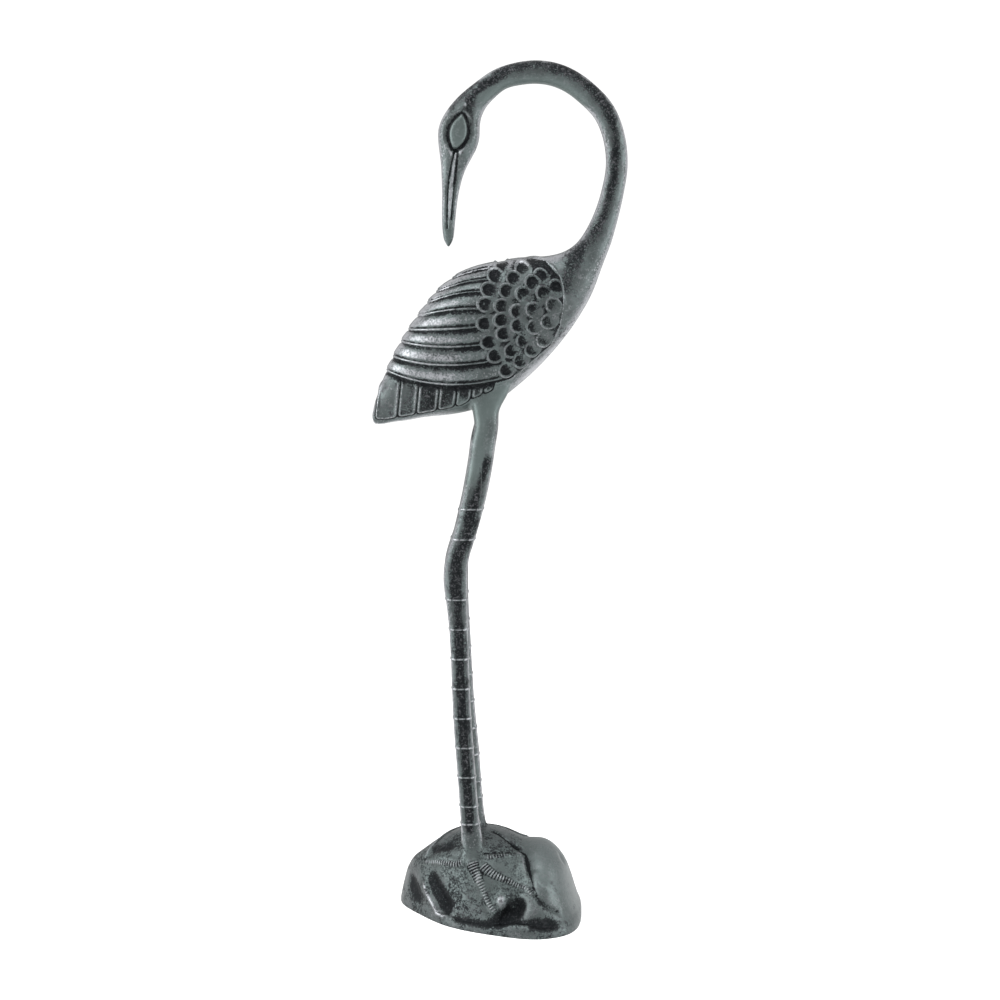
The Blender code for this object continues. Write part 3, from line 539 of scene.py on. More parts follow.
def footprint(count):
    """Angles about the origin and the base outline's radius at each of them."""
    outline = spline(np.array(FOOTPRINT) * (BASE_LENGTH, BASE_DEPTH), 720, closed=True)
    turn = np.unwrap(np.arctan2(outline[:, 1], outline[:, 0]))
    radius = np.hypot(outline[:, 0], outline[:, 1])
    angles = np.linspace(0, 2 * np.pi, count, endpoint=False)
    return angles, np.interp(angles, turn, radius, period=2 * np.pi)


def rock_height(x, y):
    """Domes of the lobes and a level rim, joined by a soft maximum.

    The rim is rounded off at the outline, and the domes behind it, where a ledge is left in front.
    """
    angles, radius = footprint(360)
    turn = np.arctan2(y, x)
    inset = np.interp(turn, angles, radius, period=2 * np.pi) - np.hypot(x, y)
    ledge = RIM_LEDGE * smooth_step(np.cos(turn - np.radians(LEDGE_FACING)) / LEDGE_SPREAD)
    rim = quarter_round(inset / RIM_ROUNDING)
    wall = quarter_round((inset - ledge) / WALL_ROUNDING)
    blend = LOBE_BLEND * ROCK_HEIGHT
    total = np.exp(RIM_HEIGHT / blend)
    for (centre_x, centre_y), (reach_x, reach_y), height in ROCK_LOBES:
        out = (((x / BASE_LENGTH - centre_x) / reach_x) ** 2
               + ((y / BASE_DEPTH - centre_y) / reach_y) ** 2)
        dome = height * ROCK_HEIGHT * np.clip(1 - out, 0, 1) ** LOBE_POWER
        total = total + np.expm1(dome * wall / blend)
    return blend * np.log(total) * rim


def rock_grid(rows=110, columns=360):
    """The rock's height over rings inside the footprint, closer together near the rim, then sunk."""
    angles, radius = footprint(columns)
    share = np.sin(np.linspace(0, np.pi / 2, rows))[:, None]
    share[0] = ROCK_MIDDLE
    x, y = share * radius * np.cos(angles), share * radius * np.sin(angles)
    top = np.stack([x, y, rock_height(x, y)], -1)
    bottom = top[-1:] - (0, 0, SINK)
    return np.concatenate([top, bottom])


def closed_tube(builder, grid):
    """Adds a grid of rings to the bmesh as one closed skin, with a flat cap at each end."""
    rings = [[builder.verts.new(point) for point in ring] for ring in grid]
    faces = [builder.faces.new((lower[j], lower[j + 1], upper[j + 1], upper[j]))
             for lower, upper in zip(rings, rings[1:]) for j in range(-len(lower), 0)]
    faces += [builder.faces.new(rings[0][::-1]), builder.faces.new(rings[-1])]
    bmesh.ops.recalc_face_normals(builder, faces=faces)


def rough_mesh():
    """The bird, the legs and the rock as closed skins that run into each other."""
    builder = bmesh.new()
    for grid in (crane_grid(), leg_grid(-1), leg_grid(1), rock_grid()):
        closed_tube(builder, grid)
    mesh = bpy.data.meshes.new("rough_crane")
    builder.to_mesh(mesh)
    builder.free()
    return mesh


def new_object(name, data):
    """An object with the given mesh, lamp or camera, linked to the scene."""
    made = bpy.data.objects.new(name, data)
    bpy.context.scene.collection.objects.link(made)
    return made


def with_modifier(mesh, kind, **settings):
    """The mesh as a modifier of the given kind leaves it."""
    holder = new_object("holder", mesh)
    modifier = holder.modifiers.new("step", kind)
    for name, value in settings.items():
        setattr(modifier, name, value)
    seen = holder.evaluated_get(bpy.context.evaluated_depsgraph_get())
    result = bpy.data.meshes.new_from_object(seen)
    bpy.data.objects.remove(holder, do_unlink=True)
    return result


def read_all(items, name, width, kind=np.float32):
    """One row of numbers for each of a mesh's items."""
    values = np.empty(len(items) * width, kind)
    items.foreach_get(name, values)
    return values.reshape(-1, width)


def mesh_points(mesh):
    return read_all(mesh.vertices, "co", 3).astype(float)


def set_points(mesh, points):
    mesh.vertices.foreach_set("co", points.astype(np.float32).ravel())
    mesh.update()


def evened(mesh, values, weight, rounds):
    """Each vertex's value drawn toward the mean of its neighbours' by its weight, round by round."""
    first, second = read_all(mesh.edges, "vertices", 2, np.int32).T
    count = len(values)
    neighbours = np.bincount(first, minlength=count) + np.bincount(second, minlength=count)
    for _ in range(rounds):
        total = (np.bincount(first, values[second], count)
                 + np.bincount(second, values[first], count))
        values = values + weight * (total / neighbours - values)
    return values


def soften(mesh, weight, rounds):
    """Draws each vertex toward its neighbours, as far as its weight says."""
    columns = [evened(mesh, column, weight, rounds) for column in mesh_points(mesh).T]
    set_points(mesh, np.stack(columns, -1))


def joint_weight(points):
    """One where a leg leaves the body or enters the rock, fading to nothing around it."""
    x, y, z = (points / UNIT).T
    (hip_x, hip_z), (reach_x, reach_z) = HIP_JOINT
    hip = np.exp(-(((x - hip_x) / reach_x) ** 2 + ((z - hip_z) / reach_z) ** 2) ** 2)
    rock = rock_height(points[:, 0], points[:, 1]) / UNIT
    y_leg, step = leg_centre(z, np.sign(y))
    away = np.stack([x - LEG_MIDDLE - step, y - y_leg, z - rock], -1) / ANKLE_REACH
    return np.maximum(hip, np.exp(-(away ** 2).sum(axis=1) ** 2))


def chain_distance(points, chain):
    """Distance to a chain of straight pieces, and how far along the chain the nearest place is."""
    chain = np.asarray(chain, float)
    nearest = np.full(len(points), np.inf)
    along = np.zeros(len(points))
    run = 0
    for start, end in zip(chain, chain[1:]):
        step = end - start
        length = np.linalg.norm(step)
        share = np.clip((points - start) @ step / length ** 2, 0, 1)
        gap = np.linalg.norm(points - start - share[:, None] * step, axis=1)
        closer = gap < nearest
        nearest[closer] = gap[closer]
        along[closer] = run + share[closer] * length
        run += length
    return nearest, along


def inside(points, outline):
    """True for points within a closed outline, by counting the sides a level line crosses."""
    found = np.zeros(len(points), bool)
    x, y = points.T
    corners = list(outline)
    for (x0, y0), (x1, y1) in zip(corners, corners[1:] + corners[:1]):
        if y0 == y1:
            continue
        crossed = (y0 > y) != (y1 > y)
        found ^= crossed & (x < x0 + (y - y0) * (x1 - x0) / (y1 - y0))
    return found


def line_gap(x, z, line):
    """Distance to a chain of straight pieces in the side view."""
    return chain_distance(np.stack([x, z], -1), line)[0]


def behind_front(x, z, front):
    """True for points behind the wing's front line, between the wing's levels."""
    behind = CRANE_SECTIONS[-1][0] - FEATHER_FRONT
    return inside(np.stack([x, z], -1), [*front, *((behind, level) for level in WING_LEVELS)])


def wing_and_head(x, z):
    """Which points are among the wing's, and which among the head's."""
    low, high = WING_LEVELS
    return (z > low) & (z < high) & (x < WING_REACH), (z > high) & (x < HEAD_FRONT)


def feather_share(x, z):
    """How far down its own long feather each point lies, -1 above them all, and the last edge."""
    edges = [np.polyval(np.polyfit(FEATHER_X, row, 2), x) for row in FEATHER_EDGES]
    share = np.full(x.shape, -1.0)
    for upper, lower in zip(edges, edges[1:]):
        place = (upper - z) / np.maximum(upper - lower, 1)
        here = (place >= 0) & (place < 1)
        share[here] = place[here]
    return share, edges[-1]


def scale_places(x, z):
    """For each scale, ring by ring toward the shoulder: way out along it, reach and cover."""
    for radius, angles in SCALE_RINGS:
        for angle in np.radians(angles):
            cosine, sine = np.cos(angle), np.sin(angle)
            dx = x - (SHOULDER[0] + radius * cosine)
            dz = z - (SHOULDER[1] + radius * sine)
            u = (dx * cosine + dz * sine) / SCALE_HALF_LENGTH
            v = (dz * cosine - dx * sine) / SCALE_HALF_WIDTH
            out = np.hypot(u, v)
            yield u, out, ramp(out, *SCALE_EDGE)


def scales(x, z, height):
    """Lays the scales over the given height.

    A bead runs round each scale's free end and fades toward the shoulder, where the floor rises.
    """
    for u, out, cover in scale_places(x, z):
        back = ramp(u, *SCALE_BACK)
        own = np.interp(out, *SCALE_PROFILE) * (1 - back) + SCALE_GROUND * back
        height = height * (1 - cover) + SCALE_HEIGHT * own * cover
    return height


def tail_place(x, z):
    """How far each point lies inside its tail feather's outline, over its foot, and in the row."""
    slid = x + TAIL_SLANT * (TAIL_TOP - z)
    sides = np.array(TAIL_SIDES, float)
    cell = np.clip(np.searchsorted(sides, slid) - 1, 0, len(sides) - 2)
    from_side = np.minimum(slid - sides[cell], sides[cell + 1] - slid)
    from_foot = z - np.interp(x, *TAIL_FOOT)
    corner = np.hypot(np.maximum(TAIL_CORNER - from_side, 0), np.maximum(TAIL_CORNER - from_foot, 0))
    inset = np.where(corner > 0, TAIL_CORNER - corner, np.minimum(from_side, from_foot))
    row = smooth_step((slid - sides[0]) / TAIL_FADE + 1)
    row *= smooth_step((sides[-1] - slid) / TAIL_FADE + 1)
    return inset, from_foot, row


def tail_feathers(x, z, edge):
    """Short upright feathers under the last long one: a rim round a sunk floor, a groove between."""
    inset, from_foot, row = tail_place(x, z)
    fade = row * smooth_step(from_foot / TAIL_FADE + 1.5) * smooth_step((edge - z) / WING_BEAD_WIDTH)
    return TAIL_HEIGHT * np.interp(inset, *TAIL_PROFILE) * fade


def wing_relief(x, z):
    """Feathers, scales, tail and the bead along the wing's front, from the side view alone."""
    share, edge = feather_share(x, z)
    feathers = FEATHER_HEIGHT * np.where(share < 0, FEATHER_TOP, np.interp(share, *FEATHER_PROFILE))
    front = spline(WING_FRONT, 60)
    gap = line_gap(x, z, front)
    back = ramp(x, FEATHER_FRONT, -FEATHER_FADE)
    height = scales(x, z, feathers * back + SCALE_GROUND * SCALE_HEIGHT * (1 - back))
    reach, floor = WING_EDGE
    away = smooth_step(gap / reach)
    within = behind_front(x, z, front) & (z > edge)
    height = np.where(within, height * away + floor * (1 - away), 0)
    return np.maximum(height, band(gap, 0, WING_BEAD_WIDTH, WING_BEAD)) + tail_feathers(x, z, edge)


def eye_place(x, z):
    """Nought along the eye's middle and one at its outline, and the way along the eye."""
    tilt = np.radians(EYE_TILT)
    dx, dz = x - EYE_CENTRE[0], z - EYE_CENTRE[1]
    along = dx * np.sin(tilt) + dz * np.cos(tilt)
    across = dx * np.cos(tilt) - dz * np.sin(tilt)
    bent = np.hypot(across, EYE_SOFTNESS) - EYE_SOFTNESS
    return bent / EYE_HALF_WIDTH + (along / EYE_HALF_LENGTH) ** 2, along


def head_relief(x, z):
    """An almond eye in a sunk ring, and the lines that part the beak."""
    lid, along = eye_place(x, z)
    ball_edge, ball_height = EYE_BALL
    height = ball_height * np.clip(1 - (lid / ball_edge) ** 2, 0, 1) ** 0.5
    height += band(lid, *EYE_RING)
    height += band(lid, *EYE_BROW) * np.exp(-(along / EYE_BROW_REACH) ** 4)
    height *= EYE_HEIGHT
    (lobe_x, lobe_z), lobe_width, lobe_height = BROW_LOBE
    height += lobe_height * np.exp(-((x - lobe_x) ** 2 + (z - lobe_z) ** 2) / lobe_width ** 2)
    for line in BEAK_LINES:
        height -= band(line_gap(x, z, spline(line, LINE_POINTS)), 0, BEAK_LINE_WIDTH, BEAK_LINE_DEPTH)
    return height


def leg_relief(x, y, z):
    """Raised rings round a leg, and sunk panels between them on its outer face."""
    table = spline(LEG_SECTIONS, 200)[::-1]
    side = np.sign(y)
    y_leg, step = leg_centre(z, side)
    centre = np.interp(z, table[:, 1], table[:, 0]) + step
    reach = np.interp(z, table[:, 1], table[:, 2])
    pitch = np.where(side < 0, *RING_PITCHES)
    rings = np.zeros(x.shape)
    for place in RING_STEPS:
        rings = np.maximum(rings, band(z, RING_TOP - place * pitch, RING_HALF_WIDTH))
    rings *= ramp(z, *RING_LIMIT)
    panel = ramp(np.abs(x - centre) / reach, PANEL_SHARE * ramp(z, *PANEL_TOP), -PANEL_EDGE)
    panel *= ramp((y - y_leg) * side / reach, *PANEL_FACE)
    return (RING_HEIGHT * rings - PANEL_DEPTH * panel) * ramp(z, *RELIEF_FOOT)


def foot_relief(points):
    """Ribbed toes that taper from the ankle, and the raised web that joins them."""
    x, y, z = points.T
    plan = np.stack([x - FAR_FOOT_STEP * smooth_step(y / FAR_FOOT_BLEND), -np.abs(y)], -1)
    outline = [*spline(WEB_OUTLINE, 80, closed=True)]
    gap, _ = chain_distance(plan, outline + outline[:1])
    gap = np.where(inside(plan, outline), gap, -gap)
    web = WEB_HEIGHT * smooth_step(gap / WEB_EDGE + 0.5)
    toes = np.zeros(x.shape)
    flat = np.column_stack([plan, z])
    for toe, width, height in zip(TOES, TOE_HALF_WIDTHS, TOE_HEIGHTS):
        line = spline(toe, LINE_POINTS)
        lift = rock_height(line[:, 0] * UNIT, line[:, 1] * UNIT) / UNIT
        distance, along = chain_distance(flat, np.column_stack([line, lift]))
        share = along / steps(line).sum()
        taper = 1 - TOE_TAPER * np.clip(share, 0, 1)
        body = np.clip(1 - (distance / (width * taper)) ** 2, 0, 1) ** 0.5
        start = ramp(along, *TOE_START)
        body *= TOE_START_SHARE + (1 - TOE_START_SHARE) * start
        rib = start * (0.5 - 0.5 * np.cos(2 * np.pi * along / RIB_PITCH))
        toes = np.maximum(toes, height * taper * body * (1 - RIB_SHARE * rib))
    knobs = 0
    for centre, width, height in KNOBS:
        gap = np.hypot(plan[:, 0] - centre[0], plan[:, 1] - centre[1])
        knobs = knobs + band(gap, 0, width, height)
    return np.maximum(web, toes) + knobs


def rock_strokes(points):
    """Hollows and ridges of the rock, each fading away from its line and at its ends, in metres."""
    height = np.zeros(len(points))
    for line, width, lift in ROCK_STROKES:
        plan = spline(line, LINE_POINTS) * (BASE_LENGTH, BASE_DEPTH)
        chain = np.column_stack([plan, rock_height(*plan.T)])
        gap, along = chain_distance(points, chain)
        reach = width * ROCK_HEIGHT
        ends = smooth_step(np.minimum(along, steps(chain).sum() - along) / (STROKE_END * reach))
        height += band(gap, 0, reach, lift * ends)
    return height * ROCK_HEIGHT


def carving(points):
    """How far the carved surface stands over the plain one, in metres."""
    x, y, z = (points / UNIT).T
    lift = np.zeros(len(points))
    wing, head = wing_and_head(x, z)
    lift[wing] = wing_relief(x[wing], z[wing])
    lift[head] = head_relief(x[head], z[head])
    legs = (z > LEG_LEVELS[0]) & (z < LEG_LEVELS[1])
    lift[legs] += leg_relief(x[legs], y[legs], z[legs])
    over = z - rock_height(points[:, 0], points[:, 1]) / UNIT
    low = over < GROUND_REACH
    ground = smooth_step((GROUND_REACH - over[low]) / GROUND_FADE)
    lift[low] += foot_relief(points[low] / UNIT) * ground
    lift *= UNIT
    lift[low] += rock_strokes(points[low]) * ground
    return lift * smooth_step(z / SAW_FADE)


def carve(mesh, depth):
    """Moves every vertex along its normal by the carving's height, times the depth."""
    normals = read_all(mesh.vertex_normals, "vector", 3)
    points = mesh_points(mesh)
    set_points(mesh, points + normals * depth * carving(points)[:, None])


def saw_flat(mesh):
    """Cuts the underside off level at z = 0, closes it and leaves only triangles."""
    builder = bmesh.new()
    builder.from_mesh(mesh)
    everything = builder.verts[:] + builder.edges[:] + builder.faces[:]
    cut = bmesh.ops.bisect_plane(builder, geom=everything, plane_co=(0, 0, 0), plane_no=(0, 0, 1),
                                 clear_inner=True, dist=1e-5)
    rim = [item for item in cut["geom_cut"] if isinstance(item, bmesh.types.BMEdge)]
    bmesh.ops.holes_fill(builder, edges=rim, sides=0)
    bmesh.ops.triangulate(builder, faces=builder.faces)
    bmesh.ops.recalc_face_normals(builder, faces=builder.faces)
    builder.to_mesh(mesh)
    builder.free()


def painted(x, z, strokes):
    """The strongest of several strokes, each fading to both sides of its line."""
    found = np.zeros(x.shape)
    for line, width, strength in strokes:
        found = np.maximum(found, band(line_gap(x, z, spline(line, 16)), 0, width, strength))
    return found


def wing_marks(x, z):
    """Wash and rub on the wing: along the long feathers, in the scales and in the tail's cells. The rub
    along the feathers' crowns is a painted highlight, and the wash under the last feather a painted
    shadow.
    """
    share, edge = feather_share(x, z)
    feathers = (z > edge) & (share >= 0)
    rear = ramp(x, *FEATHER_REAR)
    base, change = FEATHER_WASH_GAIN
    wash_and_shade = np.where(feathers, np.interp(share, *FEATHER_WASH) * (base + change * rear), 0)
    wash_and_shade = np.maximum(wash_and_shade, ramp(x, *GROUND_WASH) * (z > edge))
    # Rub on each feather's bead, and a painted highlight along its crown, stronger toward the rear
    base, change = FEATHER_RUB_AND_HIGHLIGHT_GAIN
    rub_and_highlight = np.where(feathers, np.interp(share, *FEATHER_RUB_AND_HIGHLIGHT) * (base + change * rear), 0)
    depth = np.maximum(ramp(x, *SCALE_DEEP_REAR), ramp(z, *SCALE_DEEP_TOP))
    depth = SCALE_WASH_LEAST + (1 - SCALE_WASH_LEAST) * depth
    mottle_and_shade = np.zeros(x.shape)
    for u, out, cover in scale_places(x, z):
        end = ramp(u, *SCALE_END)
        floor = ramp(out, *SCALE_FLOOR) * ramp(u, -SCALE_FLOOR_REACH * depth, SCALE_FLOOR_REACH)
        groove = SCALE_GROOVE_WASH * ramp(out, *SCALE_GROOVE) * end
        wash_and_shade = wash_and_shade * (1 - cover) + np.maximum(floor * depth, groove) * cover
        raised = ramp(u, *RAISED_BACK) * ramp(out, *RAISED_MIDDLE)
        rub_and_highlight = rub_and_highlight * (1 - cover) + SCALE_RUB * np.maximum(band(out, *SCALE_RIM) * end, raised) * cover
        mottle_and_shade = np.maximum(mottle_and_shade, SCALE_MOTTLE * cover)
    within = behind_front(x, z, WING_FRONT)
    gap = line_gap(x, z, spline(WING_FRONT, 40))
    wash_and_shade = np.where(within, wash_and_shade, 0)
    rub_and_highlight = np.where(within, rub_and_highlight, 0)
    rub_and_highlight = np.maximum(rub_and_highlight, band(gap, *WING_EDGE_RUB) * (z > edge))
    inset, from_foot, row = tail_place(x, z)
    below = ramp(z, edge, -TAIL_START) * (row > 0.5) * smooth_step(from_foot + 1)
    cells = ramp(inset, *TAIL_CELL) * (TAIL_CELL_LEAST + ramp(x, *TAIL_CELL_REAR)) * below
    mottle_and_shade = np.maximum(np.where(within & (z > edge), mottle_and_shade, 0), cells)
    wash_and_shade = np.maximum(wash_and_shade, band(inset, *TAIL_GROOVE) * below)
    # Painted shadow under the last long feather's edge, falling over the tail feathers
    wash_and_shade = np.maximum(wash_and_shade, band(z, edge, *TAIL_SHADE) * (z < edge) * (row > 0.5))
    rub_and_highlight = np.maximum(rub_and_highlight, band(inset, *TAIL_RIM_RUB) * below)
    return wash_and_shade, rub_and_highlight, mottle_and_shade


def patina_masks(mesh):
    """How each vertex is coloured: dark wash in the lows, rub on the highs, mottled and clean places.
    Part of the rub is painted highlight on rounded edges and feather crowns, and part of the dark is
    painted shade and reflection.

    Away from the wing the lows and highs come from the carving's height over the same height evened
    out between neighbours, first over a short reach for lines, then over a long one for broad forms.
    """
    points = mesh_points(mesh)
    facing = np.abs(read_all(mesh.vertex_normals, "vector", 3)[:, 1])
    height = carving(points) / UNIT
    fine = height - evened(mesh, height, *FINE_EVENING)
    broad = height - evened(mesh, height, *BROAD_EVENING)
    x, _, z = (points / UNIT).T
    wash_and_shade = ramp(-fine, *LOW_LINES) + ramp(-broad, *LOW_FORMS)
    rub_and_highlight = ramp(fine, *HIGH_LINES) + ramp(broad, *HIGH_FORMS)
    mottle_and_shade = np.zeros(x.shape)
    clean = np.zeros(x.shape)

    wing, head = wing_and_head(x, z)
    wash_and_shade[wing], rub_and_highlight[wing], mottle_and_shade[wing] = wing_marks(x[wing], z[wing])
    strip = 1 - ramp(facing, *STRIP)
    wash_and_shade[wing] *= 1 - strip[wing]

    lid, _ = eye_place(x[head], z[head])
    wash_and_shade[head] = np.maximum(wash_and_shade[head], band(lid, *EYE_RING_WASH))
    clean[head] = ramp(lid, *EYE_CLEAN)
    rub_and_highlight[head] *= ramp(lid, *EYE_AROUND_RUB)
    rub_and_highlight[head] += ramp(lid, *EYE_MIDDLE_RUB)

    rock = points[:, 2] < rock_height(points[:, 0], points[:, 1]) + GROUND_REACH * UNIT
    lift = np.zeros(x.shape)
    lift[rock] = rock_strokes(points[rock]) / ROCK_HEIGHT
    shade = evened(mesh, lift, *BROAD_EVENING)[rock]
    lift = lift[rock]
    plan = points[rock, :2] / (BASE_LENGTH, BASE_DEPTH)
    boulder = np.exp(-(((plan - BOULDER_CENTRE) / BOULDER_REACH) ** 2).sum(axis=1) ** 2)
    foot = points[rock, :2] / UNIT
    gap, _ = chain_distance(foot, spline(WEB_OUTLINE, 60, closed=True))
    web = ramp(np.where(inside(foot, WEB_OUTLINE), gap, -gap), *WEB_AREA)
    rock_wash = ROCK_WASH * (1 - boulder) + BOULDER_WASH * boulder
    wash_and_shade[rock] = np.maximum.reduce([wash_and_shade[rock], ramp(-lift, *HOLLOW_WASH), rock_wash])
    rub_and_highlight[rock] = np.maximum.reduce([TOE_RUB * rub_and_highlight[rock], ramp(lift, *RIDGE_RUB),
                                   BOULDER_RUB * boulder, ROCK_RUB * (1 - web)])
    mottle_and_shade[rock] = ROCK_MOTTLE * (1 - BOULDER_SMOOTH * boulder) * (1 - WEB_SMOOTH * web)
    mottle_and_shade[rock] += ramp(shade, *HOLLOW_MOTTLE)
    clean[rock] = np.maximum(BOULDER_CLEAN * boulder, WEB_CLEAN * web)

    high = ~rock
    # Painted highlight: silvery rub on rounded edges that turn away from the side, on the body and the
    # legs
    edge = ramp(facing[high], *EDGE_FACING) * np.where(z[high] > EDGE_LEVEL, BODY_EDGE_HIGHLIGHT, LEG_EDGE_HIGHLIGHT)
    edge *= 1 - STRIP_DULL * strip[high]
    rub_and_highlight[high] = np.maximum(rub_and_highlight[high] * np.where(z[high] > RING_LEVEL, 1, RING_RUB), edge)
    # Dark strokes: patina, with painted reflection along the neck and legs and painted shade on the
    # breast and thigh
    dark = painted(x[high], z[high], DARK_STROKES) * (1 - ramp(fine[high], *LINE_SHINE))
    mottle_and_shade[high] = np.maximum.reduce([mottle_and_shade[high], STRIP_MOTTLE * strip[high], dark])
    clean[high] = np.maximum(clean[high], painted(x[high], z[high], CLEAN_STROKES))
    legs = high & (z < WING_LEVELS[0])
    wash_and_shade[legs] *= 1 - clean[legs]
    rub_and_highlight = rub_and_highlight * (1 - CLEAN_DULL * clean * high)
    return {"wash_and_shade": np.clip(wash_and_shade, 0, 1), "rub_and_highlight": np.clip(rub_and_highlight, 0, 1), "mottle_and_shade": mottle_and_shade, "clean": clean}


def add_attributes(mesh, masks):
    for name, values in masks.items():
        layer = mesh.attributes.new(name, "FLOAT", "POINT")
        layer.data.foreach_set("value", values.astype(np.float32))


def statue_mesh(sizes):
    """One skin over all the forms, softened at the joints, carved, thinned and sawn level.

    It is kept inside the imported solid's box.
    """
    mesh = with_modifier(rough_mesh(), "REMESH", mode="VOXEL", voxel_size=sizes.skin_cell)
    soften(mesh, *SKIN_SOFTENING)
    soften(mesh, joint_weight(mesh_points(mesh)) * JOINT_STRENGTH, JOINT_ROUND_COUNT)
    masks = patina_masks(mesh)
    carve(mesh, sizes.carving_depth)
    soften(mesh, *CARVED_SOFTENING)
    add_attributes(mesh, masks)
    mesh = with_modifier(mesh, "TRIANGULATE")
    mesh = with_modifier(mesh, "DECIMATE", ratio=sizes.triangles / len(mesh.polygons))
    saw_flat(mesh)
    low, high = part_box(NODE)
    points = np.clip(mesh_points(mesh), np.array(low), np.array(high))
    set_points(mesh, points * (sizes.height / STATUE_HEIGHT))
    mesh.name = "crane_casting"
    mesh.shade_smooth()
    return mesh


def soft_light(name, place, aim, width, height, power):
    """A rectangular soft box at a place, turned to face its aim."""
    lamp = bpy.data.lights.new(name, "AREA")
    lamp.shape = "RECTANGLE"
    lamp.size = width
    lamp.size_y = height
    lamp.energy = power
    holder = new_object(name, lamp)
    holder.location = place
    direction = Vector(aim) - Vector(place)
    holder.rotation_euler = direction.to_track_quat("-Z", "Y").to_euler()


def pale_world(scene):
    """Even white light from all around."""
    world = bpy.data.worlds.new("studio")
    world.use_nodes = True
    background = world.node_tree.nodes["Background"]
    background.inputs["Color"].default_value = (1.0, 1.0, 1.0, 1.0)
    background.inputs["Strength"].default_value = WORLD_STRENGTH
    scene.world = world


def arithmetic(operation):
    """A method that adds one Math node, with the value first."""
    return lambda value, other: value.math(operation, value, other)


class Value:
    """A socket's number, whose arithmetic adds Math nodes to its own tree."""

    def __init__(self, shader, socket):
        self.shader = shader
        self.socket = socket

    def math(self, operation, first, second):
        return self.shader.node("ShaderNodeMath", {"operation": operation}, {0: first, 1: second})

    __add__ = __radd__ = arithmetic("ADD")
    __sub__ = arithmetic("SUBTRACT")
    __mul__ = arithmetic("MULTIPLY")
    highest = arithmetic("MAXIMUM")

    def __rsub__(self, other):
        return self.math("SUBTRACT", other, self)

    def step(self, low, high, most=1):
        """Nought below low, the most above high, smooth between."""
        share = self.shader.node("ShaderNodeMapRange", {"interpolation_type": "SMOOTHSTEP"},
                                 {"Value": self, "From Min": low, "From Max": high})
        return share if most == 1 else share * most


class Shader:
    """A material's node tree. One method adds any node, and another mixes two colours."""

    def __init__(self, name):
        self.material = bpy.data.materials.new(name)
        self.material.use_nodes = True
        self.nodes = self.material.node_tree.nodes
        self.links = self.material.node_tree.links
        self.surface = self.nodes["Principled BSDF"]

    def feed(self, socket, value):
        if isinstance(value, Value):
            self.links.new(value.socket, socket)
        else:
            socket.default_value = value

    def node(self, kind, settings=None, inputs=None, output=0):
        item = self.nodes.new(kind)
        for name, setting in (settings or {}).items():
            setattr(item, name, setting)
        for name, value in (inputs or {}).items():
            self.feed(item.inputs[name], value)
        return Value(self, item.outputs[output])

    def mix(self, factor, first, second):
        """The first colour where the factor is 0, and the second where it is 1."""
        return self.node("ShaderNodeMix", {"data_type": "RGBA"}, {0: factor, 6: first, 7: second}, 2)

    def attribute(self, name):
        return self.node("ShaderNodeAttribute", {"attribute_name": name}, output=2)

    def noise(self, place, scale, detail=2.0, roughness=0.5):
        return self.node("ShaderNodeTexNoise", {"noise_dimensions": "3D"},
                         {"Vector": place, "Scale": scale, "Detail": detail, "Roughness": roughness})


def patina_material(colours):
    """Grey-green patina, dark wash in the lows and in mottled patches, silvery rub on the highs. Painted
    highlights share the rub's colour, and painted shade and reflection share the dark wash and patches.

    Noise at four sizes breaks the masks up: clouds of about 20 mm shift the patina's tone, stains of
    about 9 mm and blots of about 4 mm make the wash and rub ragged, and grains of about 2 mm speckle
    both.
    """
    shader = Shader("patina_metal_with_painted_light")
    place = shader.node("ShaderNodeTexCoord", output=3)
    wash_and_shade, rub_and_highlight, mottle_and_shade, clean = map(shader.attribute, ("wash_and_shade", "rub_and_highlight", "mottle_and_shade", "clean"))
    cloud, stain, blot, grain = (shader.noise(place, *noise) for noise in NOISES)
    rough = 1 - clean * CLEAN_CALM
    cloud_part, stain_part, blot_part, grain_part, middle = RAGGED
    ragged = cloud * cloud_part + stain * stain_part + blot * blot_part + grain * grain_part
    ragged = (ragged - middle) * rough
    blot_part, grain_part, middle = SPECKLE
    speckle = (blot * blot_part + grain * grain_part - middle) * rough
    low = (wash_and_shade + ragged * LOW_RAGGED).step(*LOW_STEP)
    dark = low.highest((mottle_and_shade * rough + ragged).step(*PATCH_STEP))
    tone = shader.mix(cloud.step(*CLOUD_STEP), tuple(colours.patina_deep), tuple(colours.patina))
    tone = shader.mix(clean * CLEAN_SHARE, tone, tuple(colours.clean))
    bright = (rub_and_highlight + speckle).step(*BRIGHT_STEP)
    tone = shader.mix(bright, tone, tuple(colours.rub_and_highlight))
    blot_part, grain_part = FLECK
    fleck = (blot * blot_part + grain * grain_part).step(*FLECK_STEP) * rough
    fleck = fleck * (FLECK_MOST - low * FLECK_LOSS)
    colour = shader.mix(fleck, shader.mix(dark, tone, tuple(colours.wash_and_shade)), tuple(colours.rub_and_highlight))
    surface = shader.surface
    shader.feed(surface.inputs["Base Color"], colour)
    base, darker = METAL
    shader.feed(surface.inputs["Metallic"], base + dark * darker)
    base, darker, brighter, grainy = ROUGHNESS
    roughness = base + dark * darker - bright * brighter + (grain - 0.5) * grainy
    shader.feed(surface.inputs["Roughness"], roughness)
    strength, distance, grain_part, blot_part = BUMP
    height = grain * grain_part + blot * blot_part
    bump = {"Strength": strength, "Distance": distance, "Height": height}
    shader.feed(surface.inputs["Normal"], shader.node("ShaderNodeBump", None, bump))
    return shader.material


